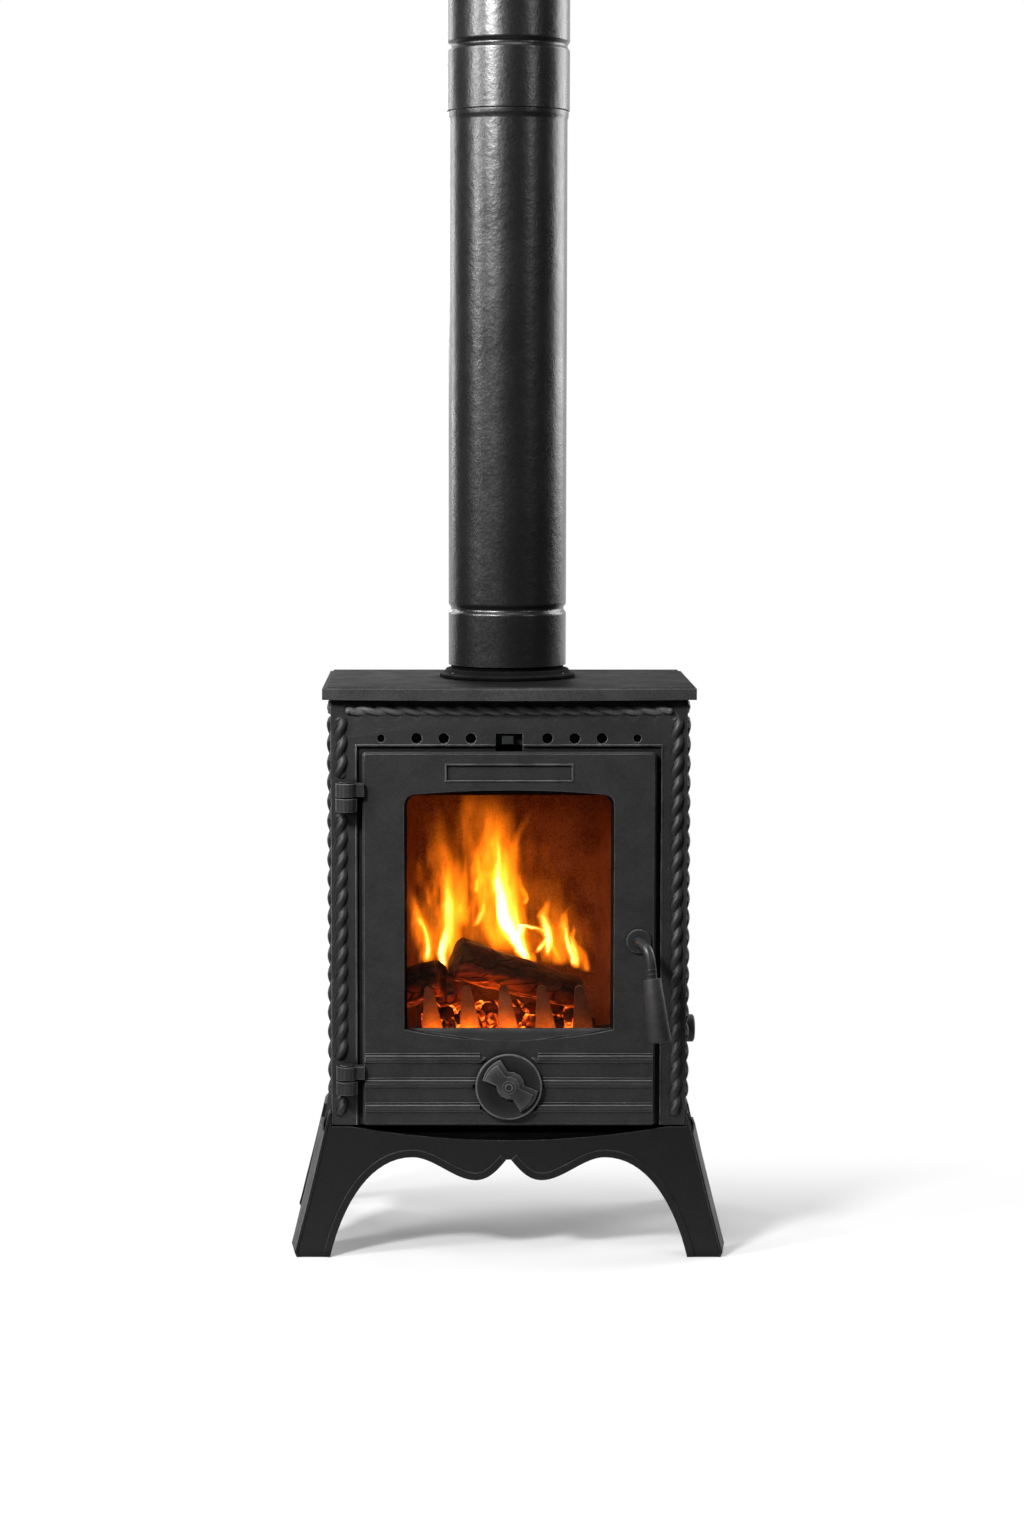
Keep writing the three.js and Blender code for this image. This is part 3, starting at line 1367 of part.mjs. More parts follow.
const fireBrick = new THREE.MeshStandardMaterial({ color: 0x8a7358, roughness: 0.95, metalness: 0 });

function piece(name, body, material) {
  const mesh = new THREE.Mesh(geometryOf(body), material);
  mesh.name = name;
  return mesh;
}

const stove = new THREE.Group();
const door = new THREE.Group();
const handle = new THREE.Group();
const riddler = new THREE.Group();

stove.add(
  piece("base_plate", basePlate(), castIron),
  piece("front_frame", frontFrame(), castIron),
  piece("left_side_panel", sidePanel(-1), castIron),
  piece("right_side_panel", sidePanel(1), castIron),
  piece("rear_panel", rearPanel(), castIron),
  piece("top_plate", topPlate(), castIron),
  piece("front_legs", legCasting(-1), castIron),
  piece("rear_legs", legCasting(1), castIron),
  piece("rear_outlet_cover", outletCover(), castIron),
  piece("rear_cover_bolt_left", coverBolt(-1), zincSteel),
  piece("rear_cover_bolt_right", coverBolt(1), zincSteel),
  piece("flue_collar", flueCollar(), castIron),
  piece("flue_pipe_lower", pipeLower(), enamelSteel),
  piece("flue_pipe_upper", pipeUpper(), enamelSteel),
  piece("grate_bed", grateBed(), firedIron),
  piece("log_guard", logGuard(), firedIron),
  piece("left_firebrick", sideLiner(-1), fireBrick),
  piece("right_firebrick", sideLiner(1), fireBrick),
  piece("rear_firebrick", rearLiner(), fireBrick),
  piece("baffle_plate", bafflePlate(), firedIron),
  piece("ash_pan", ashPan(), zincSteel),
  piece("hinge_pin_upper", hingePin(hingeJoints.upper), rodSteel),
  piece("hinge_pin_lower", hingePin(hingeJoints.lower), rodSteel),
  piece("hinge_washer_upper", hingeWasher(hingeJoints.upper), zincSteel),
  piece("hinge_washer_lower", hingeWasher(hingeJoints.lower), zincSteel),
);
for (let i = 0; i < boltCount; i += 1) {
  stove.add(piece(`collar_bolt_${i + 1}`, collarBolt(i), zincSteel));
}
for (const [side, label] of [[-1, "left"], [1, "right"]]) {
  stove.add(piece(`air_slide_screw_${label}`, slideScrew(side), zincSteel));
  stove.add(piece(`air_slide_nut_${label}`, slideNut(side), zincSteel));
}
tiePlaces().forEach((place, i) => stove.add(piece(`tie_bolt_${i + 1}`, tieBolt(place), zincSteel)));
stove.add(piece("air_slide", airSlide(), zincSteel));

door.add(
  piece("door", doorCasting(), castIron),
  piece("window_glass", glassPane(), ceramicGlass),
  piece("glass_tape", glassRing(0, doorBack - glassSizes.tapeThickness, doorBack), sealRope),
  piece("door_rope_seal", doorSeal(), sealRope),
  piece("air_dial", airDial(), castIron),
  piece("air_dial_screw", dialScrew(), zincSteel),
  piece("air_dial_spacer", dialSpacer(), zincSteel),
  piece("latch_spacer", latchSpacer(), zincSteel),
);
clipPlaces().forEach((place, i) => {
  door.add(piece(`glass_clip_${i + 1}`, glassClip(place), zincSteel));
  door.add(piece(`glass_clip_screw_${i + 1}`, clipScrew(place), zincSteel));
});

handle.add(
  piece("handle_rod", handleRod(), rodSteel),
  piece("handle_grip", handleGrip(), gripCoat),
  piece("latch_cam", latchCam(), castIron),
  piece("latch_nut", latchNut(), zincSteel),
);

riddler.add(
  piece("riddling_grate", riddlingGrate(), firedIron),
  piece("riddling_rod", riddlingRod(), rodSteel),
  piece("riddling_knob", riddlingKnob(), gripCoat),
);

door.add(handle);
stove.add(door, riddler);

// The origin goes to the floor, under the middle of the whole object.
const extent = new THREE.Box3().setFromObject(stove);
const middle = extent.getCenter(new THREE.Vector3());
stove.position.set(-middle.x, -middle.y, -extent.min.z);

export default stove;
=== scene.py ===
"""Looks of a small cast iron wood stove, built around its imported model.

Sizes in the classes are millimetres in the model's frame: X to the right, Z up, the door facing -Y.
"""

import json
import logging
import math
import random
from collections.abc import Callable, Sequence
from dataclasses import dataclass
from enum import Enum

import bmesh
import bpy
from bmesh.types import BMEdge, BMesh, BMFace, BMVert
from bpy.types import Material, MeshPolygon, Node, NodeSocket, NodeTree, Object, Scene
from mathutils import Matrix, Vector, noise


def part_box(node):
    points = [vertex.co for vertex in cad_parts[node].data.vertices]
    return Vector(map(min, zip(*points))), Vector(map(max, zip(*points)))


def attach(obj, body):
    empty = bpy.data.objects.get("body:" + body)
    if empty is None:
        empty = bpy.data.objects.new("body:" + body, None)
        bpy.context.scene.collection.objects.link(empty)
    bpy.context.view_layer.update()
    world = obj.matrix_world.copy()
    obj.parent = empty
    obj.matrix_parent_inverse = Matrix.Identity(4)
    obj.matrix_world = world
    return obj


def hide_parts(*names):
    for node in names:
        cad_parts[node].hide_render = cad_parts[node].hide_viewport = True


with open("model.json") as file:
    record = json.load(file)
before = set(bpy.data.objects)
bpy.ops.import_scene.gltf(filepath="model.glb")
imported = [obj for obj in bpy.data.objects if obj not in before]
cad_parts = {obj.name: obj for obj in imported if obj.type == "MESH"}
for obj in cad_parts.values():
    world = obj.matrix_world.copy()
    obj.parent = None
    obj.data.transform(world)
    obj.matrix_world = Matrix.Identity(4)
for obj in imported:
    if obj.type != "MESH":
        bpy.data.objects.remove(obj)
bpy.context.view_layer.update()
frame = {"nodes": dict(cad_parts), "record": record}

LOG = logging.getLogger("stove")
MM = 0.001
PHOTO_LONG_SIDE = 1536
MIX_COLOUR = 2  # a Mix node's colour output
ROW_SHIFT = 24.891  # from the drawing's y to the model's
FRONT_FACE = -92.609  # the y of the front frame's face, in the model
HINGE_JOINTS = (186.6, 481.6)  # the heights where the door's and the frame's knuckles meet
WELD = 0.004  # points of a built mesh that lie closer than this, in millimetres, are one
COPY_WELD = 0.01  # the same for a copy of a CAD node
SHARP_ANGLE = math.radians(30.0)  # faces that meet at more than this have their edge rounded
FLAT_ANGLE = 0.6  # a copy's faces that meet at less than this, in degrees, are one


class Body(Enum):
    """The rigid bodies that pieces ride on."""

    STOVE = "stove"
    DOOR = "door"
    DIAL = "dial"
    HANDLE = "handle"
    RIDDLER = "riddler"


class Slot(Enum):
    """The record's material slots."""

    CAST_IRON = "cast_iron"
    ENAMEL = "enamelled_steel"
    FIRED_IRON = "fired_iron"
    BRICK = "fire_brick"
    GLASS = "ceramic_glass"
    ROPE = "seal_rope"
    ROD = "rod_steel"
    GRIP = "grip_coat"
    ZINC = "zinc_steel"


class Axis(Enum):
    """The axes that turned pieces are turned about."""

    X = (1.0, 0.0, 0.0)
    Y = (0.0, 1.0, 0.0)
    Z = (0.0, 0.0, 1.0)


# ---- colours, nodes and finishes


def linear(code: str) -> tuple[float, float, float, float]:
    """Turns an sRGB hex code into a linear colour.

    Args:
        code: Six hex digits after a hash.

    Returns:
        Red, green, blue and alpha.
    """
    parts = [int(code[i : i + 2], 16) / 255 for i in (1, 3, 5)]
    red, green, blue = (c / 12.92 if c <= 0.04045 else ((c + 0.055) / 1.055) ** 2.4 for c in parts)
    return red, green, blue, 1.0


def add(tree: NodeTree, kind: str, inputs: dict | Sequence = (), **settings: object) -> Node:
    """Adds one shader node.

    Args:
        tree: The node tree it goes into.
        kind: The node's type without its ShaderNode prefix.
        inputs: Values, output sockets or nodes to link, by the input's name or number or else in order. A node
            stands for its colour output if it mixes colours, and otherwise for its first output.
        settings: The node's own properties.

    Returns:
        The new node.
    """
    made = tree.nodes.new("ShaderNode" + kind)
    for key, value in settings.items():
        setattr(made, key, value)
    pairs = inputs.items() if isinstance(inputs, dict) else enumerate(inputs)
    for key, value in pairs:
        if isinstance(value, Node):
            value = value.outputs[MIX_COLOUR if getattr(value, "data_type", "") == "RGBA" else 0]
        if isinstance(value, NodeSocket):
            tree.links.new(value, made.inputs[key])
        else:
            made.inputs[key].default_value = value
    return made


def blank(name: str) -> tuple[Material, NodeTree]:
    """Starts a material with an empty node tree.

    Args:
        name: The material's name.

    Returns:
        The material and its tree.
    """
    material = bpy.data.materials.new(name)
    material.use_nodes = True
    material.node_tree.nodes.clear()
    return material, material.node_tree


@dataclass(frozen=True)
class Grained:
    """A surface with grain, low lumps, mottled colour, edges painted paler as wear and painted highlight, and
    painted shade in its hollows, in millimetres.
    """

    name: str
    pale: str
    deep: str
    # the edges' colour: partly bare iron, partly painted highlight
    worn_lit_edge: str
    smooth: float  # the least roughness
    rough: float  # the most
    grain: float = 1.5  # the grain's width
    grain_depth: float = 0.2
    lump: float = 7.0
    lump_depth: float = 0.25
    mottle: float = 32.0  # the width of a patch of colour
    edge: float = 0.9  # how far an edge is softened
    # how much paler the edges are painted: partly wear, partly painted highlight
    worn_lit_amount: float = 0.5
    # painted shade in hollows: how dark, and how far round the surroundings are felt
    cavity_shade: float = 0.0
    cavity_shade_reach: float = 9.0
    metallic: float = 0.0
    specular: float = 0.5

    def material(self) -> Material:
        """Builds the node material."""
        material, tree = blank(self.name)
        place = add(tree, "TexCoord").outputs["Object"]
        grain, lumps, mottle = (
            add(tree, "TexNoise", {"Vector": place, "Scale": 1 / (size * MM), "Detail": detail, "Roughness": rough})
            for size, detail, rough in ((self.grain, 2.5, 0.6), (self.lump, 2.0, 0.5), (self.mottle, 4.0, 0.6))
        )
        soft = add(tree, "Bevel", {"Radius": self.edge * MM}, samples=6)
        low = add(tree, "Bump", {"Height": lumps, "Distance": self.lump_depth * MM, "Normal": soft})
        fine = add(tree, "Bump", {"Height": grain, "Distance": self.grain_depth * MM, "Normal": low})
        # The softened normal leaves the true one near an edge, which is painted paler in patches: partly worn paint,
        # partly painted highlight.
        shape = add(tree, "NewGeometry")
        facing = add(tree, "VectorMath", [soft, shape.outputs["True Normal"]], operation="DOT_PRODUCT")
        turned_away = add(tree, "MapRange", [facing.outputs["Value"], 0.99, 0.9, 0.0, self.worn_lit_amount])
        patchy = add(tree, "MapRange", [mottle, 0.35, 0.6, 0.35, 1.0])
        worn_lit_edge = add(tree, "Math", [turned_away, patchy], operation="MULTIPLY", use_clamp=True)
        speck = add(tree, "Math", [grain, mottle], operation="ADD")
        tone = add(tree, "MapRange", [speck, 0.75, 1.25, 0.0, 1.0])
        paint = add(tree, "Mix", {0: tone, 6: linear(self.deep), 7: linear(self.pale)}, data_type="RGBA")
        with_worn_lit_edges = add(tree, "Mix", {0: worn_lit_edge, 6: paint, 7: linear(self.worn_lit_edge)}, data_type="RGBA")
        # Painted shade: in hollows the colour is painted nearly black and the gloss matt.
        open_sky = add(tree, "AmbientOcclusion", {"Distance": self.cavity_shade_reach * MM}, samples=6)
        painted_cavity_shade = add(tree, "MapRange", [open_sky.outputs["AO"], 0.42, 0.96, self.cavity_shade, 0.0])
        colour = add(tree, "Mix", {0: painted_cavity_shade, 6: with_worn_lit_edges, 7: linear("#030303")}, data_type="RGBA")
        sheen = add(tree, "MapRange", [speck, 0.75, 1.25, self.rough, self.smooth])
        gloss = add(tree, "Mix", {0: painted_cavity_shade, 2: sheen, 3: 0.95})
        shader = add(tree, "BsdfPrincipled", {
            "Base Color": colour, "Roughness": gloss, "Normal": fine, "Metallic": self.metallic,
            "Specular IOR Level": self.specular,
        })
        add(tree, "OutputMaterial", {"Surface": shader})
        return material


# Sand-cast iron under satin black stove paint: the sand's grain shows as a fine matt speckle. Its edges are painted
# pale, partly worn paint and partly painted highlight, and its hollows near black as painted shade.
BLACKED_CAST_IRON = Grained(
    "blacked sand-cast iron", "#343434", "#212121", "#a4a4a4", 0.4, 0.55,
    specular=0.4, worn_lit_amount=0.9, cavity_shade=1.0,
)
# A paler, drier copy of the iron for the top plate's rim: painted light for the rim's face, which catches more light
# than the panel below.
LIT_RIM_CAST_IRON = Grained(
    "lit-rim sand-cast iron", "#464646", "#313131", "#909090", 0.66, 0.85,
    grain=1.6, grain_depth=0.34, lump_depth=0.22, specular=0.1, worn_lit_amount=0.9, cavity_shade=1.0, cavity_shade_reach=4.5,
)
# A darker copy of the iron for the plate's top and the pipe's collar: painted shade against the light their upward
# faces catch.
TOP_SHADE_CAST_IRON = Grained(
    "top-shaded sand-cast iron", "#141414", "#0d0d0d", "#606060", 0.72, 0.9,
    grain=1.6, grain_depth=0.3, lump_depth=0.22, specular=0.05, worn_lit_amount=0.6, cavity_shade=1.0,
)
# A darker copy of the iron: painted shade on the legs, low down, and on the window's upward-facing sill.
# The dial's disc shares it.
LOW_SHADE_CAST_IRON = Grained(
    "shade-darkened sand-cast iron", "#1a1a1a", "#0e0e0e", "#747474", 0.42, 0.58,
    specular=0.3, worn_lit_amount=0.7, cavity_shade=1.0, cavity_shade_reach=15.0,
)
# Near-black matt iron, painted shade with some soot: the window's opening, the shadow lines painted under the door's
# ribs, the air slide's screws in their holes, and what lies between the body and the legs.
SHADE_BLACK_CAST_IRON = Grained(
    "shade-black sand-cast iron", "#0b0b0b", "#050505", "#202020", 0.7, 0.9,
    grain_depth=0.12, lump_depth=0.2, specular=0.05, worn_lit_amount=0.3, cavity_shade=1.0, edge=0.7,
)
# A pale copy of the iron: painted highlight on narrow lips and upward-facing faces, and painted light on the top
# rope in the top plate's shadow.
HIGHLIGHT_CAST_IRON = Grained(
    "highlight-pale sand-cast iron", "#666666", "#464646", "#9a9a9a", 0.42, 0.6,
    grain_depth=0.15, lump_depth=0.2, mottle=14.0, specular=0.5, worn_lit_amount=0.5, cavity_shade=1.0, cavity_shade_reach=3.5,
    edge=0.7,
)
# Rolled steel pipe with a smooth satin enamel: no grain to see, long soft streaks of light and a faint
# orange-peel wobble in them.
SATIN_ENAMEL_STEEL = Grained(
    "satin enamelled rolled steel", "#191919", "#131313", "#3a3a3a", 0.26, 0.36,
    grain=3.2, grain_depth=0.15, lump=11.0, lump_depth=0.3, mottle=60.0, edge=0.5, worn_lit_amount=0.3, specular=1.0,
)
# Iron that has been through the fire: scaled, brown-grey and dull, with a coarser skin.
FIRED_GREY_IRON = Grained(
    "fire-scaled grey iron", "#3d3733", "#231f1d", "#5c524a", 0.42, 0.75,
    grain=1.6, grain_depth=0.2, lump=6.0, lump_depth=0.3, mottle=14.0, edge=0.7,
)
# Pressed vermiculite brick: soft, crumbly and tan under a brown film of soot.
PRESSED_FIRE_BRICK = Grained(
    "pressed fire brick", "#6e4f38", "#3f2a1c", "#7d5f46", 0.8, 0.95,
    grain=2.0, grain_depth=0.35, lump=9.0, lump_depth=0.5, mottle=40.0, worn_lit_amount=0.3, edge=0.7,
)
# Zinc-plated steel fastenings, dulled to a grey satin by heat.
ZINC_PLATED_STEEL = Grained(
    "heat-dulled zinc-plated steel", "#86888a", "#5f6163", "#a5a7a9", 0.32, 0.5,
    grain=1.2, grain_depth=0.02, lump=4.0, lump_depth=0.03, mottle=9.0, edge=0.35, metallic=0.85,
)
# Blackened drawn rod: smoother than the castings, so that it carries thin streaks of light.
BLACKENED_ROD = Grained(
    "blackened drawn steel rod", "#3a3b3c", "#2b2c2d", "#6a6b6c", 0.3, 0.42,
    grain=1.2, grain_depth=0.015, lump=6.0, lump_depth=0.03, mottle=12.0, edge=0.35, metallic=0.3,
)
# Textured powder coat on the grip: a matt, evenly speckled skin.
TEXTURED_POWDER_COAT = Grained(
    "textured powder coat", "#303030", "#1b1b1b", "#6a6a6a", 0.5, 0.66,
    grain=1.1, grain_depth=0.14, lump=5.0, lump_depth=0.04, mottle=10.0, edge=0.6,
)
# Knitted glass fibre rope and tape, once white and now smoked grey.
SMOKED_GLASS_FIBRE = Grained(
    "smoked glass fibre rope", "#6d6b66", "#44423e", "#7a7872", 0.85, 0.98,
    grain=0.9, grain_depth=0.25, lump=3.0, lump_depth=0.2, mottle=16.0, edge=0.7,
)


@dataclass(frozen=True)
class CeramicGlass:
    """Heat-proof glass ceramic: clear, hard and faintly amber, with an uneven haze of smoke."""

    name: str = "amber glass ceramic"
    tint: str = "#fffaf2"
    smoke: str = "#f6e9d8"
    roughness: float = 0.0
    ior: float = 1.5
    haze_grain: float = 24.0

    def material(self) -> Material:
        """Builds the node material."""
        material, tree = blank(self.name)
        place = add(tree, "TexCoord").outputs["Object"]
        haze = add(tree, "TexNoise", {"Vector": place, "Scale": 1 / (self.haze_grain * MM), "Detail": 4.0})
        film = add(tree, "MapRange", [haze, 0.4, 0.7, 0.0, 1.0])
        smoke = add(tree, "Mix", {0: film, 6: linear(self.tint), 7: linear(self.smoke)}, data_type="RGBA")
        shader = add(tree, "BsdfPrincipled", {
            "Base Color": smoke, "Roughness": self.roughness, "IOR": self.ior, "Transmission Weight": 1.0,
        })
        add(tree, "OutputMaterial", {"Surface": shader})
        return material


@dataclass(frozen=True)
class Finish:
    """A material and the record's slot that it belongs to."""

    slot: Slot
    material: Material


class Finishes:
    """Every finish of the object, each built once. The first one of a slot is the slot's own."""

    def __init__(self) -> None:
        """Builds the finishes."""
        self.iron = Finish(Slot.CAST_IRON, BLACKED_CAST_IRON.material())
        self.lit_rim_iron = Finish(Slot.CAST_IRON, LIT_RIM_CAST_IRON.material())
        self.highlight_iron = Finish(Slot.CAST_IRON, HIGHLIGHT_CAST_IRON.material())
        self.top_shade_iron = Finish(Slot.CAST_IRON, TOP_SHADE_CAST_IRON.material())
        self.low_shade_iron = Finish(Slot.CAST_IRON, LOW_SHADE_CAST_IRON.material())
        self.shade_black_iron = Finish(Slot.CAST_IRON, SHADE_BLACK_CAST_IRON.material())
        self.enamel = Finish(Slot.ENAMEL, SATIN_ENAMEL_STEEL.material())
        self.fired = Finish(Slot.FIRED_IRON, FIRED_GREY_IRON.material())
        self.brick = Finish(Slot.BRICK, PRESSED_FIRE_BRICK.material())
        self.zinc = Finish(Slot.ZINC, ZINC_PLATED_STEEL.material())
        self.rod = Finish(Slot.ROD, BLACKENED_ROD.material())
        self.grip = Finish(Slot.GRIP, TEXTURED_POWDER_COAT.material())
        self.rope = Finish(Slot.ROPE, SMOKED_GLASS_FIBRE.material())
        self.glass = Finish(Slot.GLASS, CeramicGlass().material())

    def of_slot(self, slot: Slot) -> Finish:
        """Gives the finish of one of the record's slots."""
        return next(finish for finish in vars(self).values() if finish.slot is slot)


# ---- building meshes


def turned(
    profile: Sequence[tuple[float, float]], centre: Vector, axis: Axis, steps: int = 64, closed: bool = False
) -> BMesh:
    """Turns a profile about an axis.

    Args:
        profile: Points of radius and distance along the axis.
        centre: A point on the axis.
        axis: The axis.
        steps: Facets of the full turn.
        closed: True if the profile is a loop.

    Returns:
        A mesh of its own.
    """
    bm = bmesh.new()
    along = Vector(axis.value)
    side = Vector((0, 0, 1)) if axis is not Axis.Z else Vector((1, 0, 0))
    points = [bm.verts.new(centre + side * radius + along * height) for radius, height in profile]
    pairs = list(zip(points, points[1:])) + ([(points[-1], points[0])] if closed else [])
    geometry = points + [bm.edges.new(pair) for pair in pairs]
    bmesh.ops.spin(
        bm, geom=geometry, cent=centre, axis=along, dvec=(0, 0, 0), angle=math.tau, steps=steps, use_merge=True
    )
    return bm


def softened(bm: BMesh, width: float) -> None:
    """Rounds a mesh's sharp edges in place.

    Args:
        bm: The mesh.
        width: The rounding's width.
    """
    bmesh.ops.remove_doubles(bm, verts=bm.verts, dist=width / 50)
    bmesh.ops.recalc_face_normals(bm, faces=bm.faces)
    sharp = [e for e in bm.edges if e.is_manifold and e.calc_face_angle(0) > SHARP_ANGLE]
    bmesh.ops.bevel(
        bm, geom=sharp, offset=width, offset_type="OFFSET", segments=2, profile=0.5, affect="EDGES",
        clamp_overlap=True, material=-1,
    )


def linked(bm: BMesh, name: str, material: Material) -> Object:
    """Turns a mesh, which is used up, into an object of the scene.

    Args:
        bm: The mesh.
        name: The object's name.
        material: Its material.

    Returns:
        The object.
    """
    mesh = bpy.data.meshes.new(name)
    bm.to_mesh(mesh)
    bm.free()
    mesh.materials.append(material)
    thing = bpy.data.objects.new(name, mesh)
    bpy.context.scene.collection.objects.link(thing)
    return thing


def placed(start: Vector, way: Vector) -> Matrix:
    """Gives the matrix that takes a piece turned about Z to a point, pointing a way."""
    return Matrix.Translation(start) @ way.normalized().to_track_quat("Z", "Y").to_matrix().to_4x4()


def absorb(bm: BMesh, part: BMesh, mirrored: bool = False) -> None:
    """Moves one mesh's faces into another.

    Args:
        bm: The mesh that they go into.
        part: The mesh that they come from, which is used up.
        mirrored: True if they go to the other side in x.
    """
    if mirrored:
        bmesh.ops.scale(part, vec=(-1, 1, 1), verts=part.verts)
    scratch = bpy.data.meshes.new("scratch")
    part.to_mesh(scratch)
    part.free()
    bm.from_mesh(scratch)
    bpy.data.meshes.remove(scratch)


def extruded(bm: BMesh, outline: Sequence[Sequence[float]], way: Sequence[float]) -> BMFace:
    """Carries a flat outline along into a solid.

    Args:
        bm: The mesh that it goes into.
        outline: The outline's corners.
        way: How far it is carried.

    Returns:
        The far face.
    """
    face = bm.faces.new([bm.verts.new(corner) for corner in outline])
    made = bmesh.ops.extrude_face_region(bm, geom=[face])["geom"]
    bmesh.ops.translate(bm, vec=way, verts=[item for item in made if isinstance(item, BMVert)])
    return next(item for item in made if isinstance(item, BMFace))


def published(
    bm: BMesh,
    name: str,
    body: Body,
    finish: Finish,
    stands_for: tuple[str, ...] = (),
    crease: float = 32.0,
    scale: float = MM,
) -> Object:
    """Turns a finished mesh into a piece that rides on a body.

    Args:
        bm: The mesh, which is used up.
        name: The piece's name.
        body: The body it rides on.
        finish: Its finish.
        stands_for: CAD nodes that it replaces.
        crease: Edges sharper than this, in degrees, stay crisp.
        scale: Metres in one unit of the mesh.

    Returns:
        The piece.
    """
    if scale == MM:
        bmesh.ops.remove_doubles(bm, verts=bm.verts, dist=WELD)
        bmesh.ops.recalc_face_normals(bm, faces=bm.faces)
    bmesh.ops.scale(bm, vec=(scale, scale, scale), verts=bm.verts)
    for face in bm.faces:
        face.smooth = True
    for edge in bm.edges:
        edge.smooth = edge.calc_face_angle(math.pi) < math.radians(crease)
    piece, slot = linked(bm, name, finish.material), finish.slot
    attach(piece, body.value)
    if stands_for:
        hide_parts(*stands_for)
    LOG.info("%s: %d faces on %s", name, len(piece.data.polygons), body.value)
    return piece


def faced(piece: Object, finish: Finish, wanted: Callable[[MeshPolygon], bool]) -> None:
    """Gives some of a piece's faces a finish of their own.

    Args:
        piece: The piece.
        finish: The finish.
        wanted: Tells whether a face takes it.
    """
    piece.data.materials.append(finish.material)
    for face in piece.data.polygons:
        if wanted(face):
            face.material_index = len(piece.data.materials) - 1


def rounded(piece: Object, width: float) -> None:
    """Rounds a finished piece's sharp edges and keeps its flat faces flat.

    Args:
        piece: The piece.
        width: The rounding's width in millimetres.
    """
    edge = piece.modifiers.new("cast edge", "BEVEL")
    edge.width = width * MM
    edge.segments = 2
    edge.profile = 0.5
    edge.limit_method = "ANGLE"
    edge.angle_limit = SHARP_ANGLE
    edge.harden_normals = True
    edge.use_clamp_overlap = True


def smooth_copy(
    node: str, name: str, body: Body, finish: Finish, edge: float, reshape: Callable[[BMesh], None] | None
) -> Object:
    """Stands a merged copy with rounded edges in a CAD node's place.

    Args:
        node: The CAD node.
        name: The copy's name.
        body: The body it rides on.
        finish: Its finish.
        edge: How far its edges are rounded, in millimetres.
        reshape: Works on the merged mesh, which is in metres, before its edges are rounded.

    Returns:
        The copy.
    """
    bm = bmesh.new()
    bm.from_mesh(frame["nodes"][node].data)
    bmesh.ops.remove_doubles(bm, verts=bm.verts, dist=COPY_WELD * MM)
    bmesh.ops.dissolve_limit(bm, angle_limit=math.radians(FLAT_ANGLE), verts=bm.verts, edges=bm.edges)
    if reshape:
        reshape(bm)
    piece = published(bm, name, body, finish, (node,), scale=1.0)
    rounded(piece, edge)
    return piece


# ---- sub-assemblies


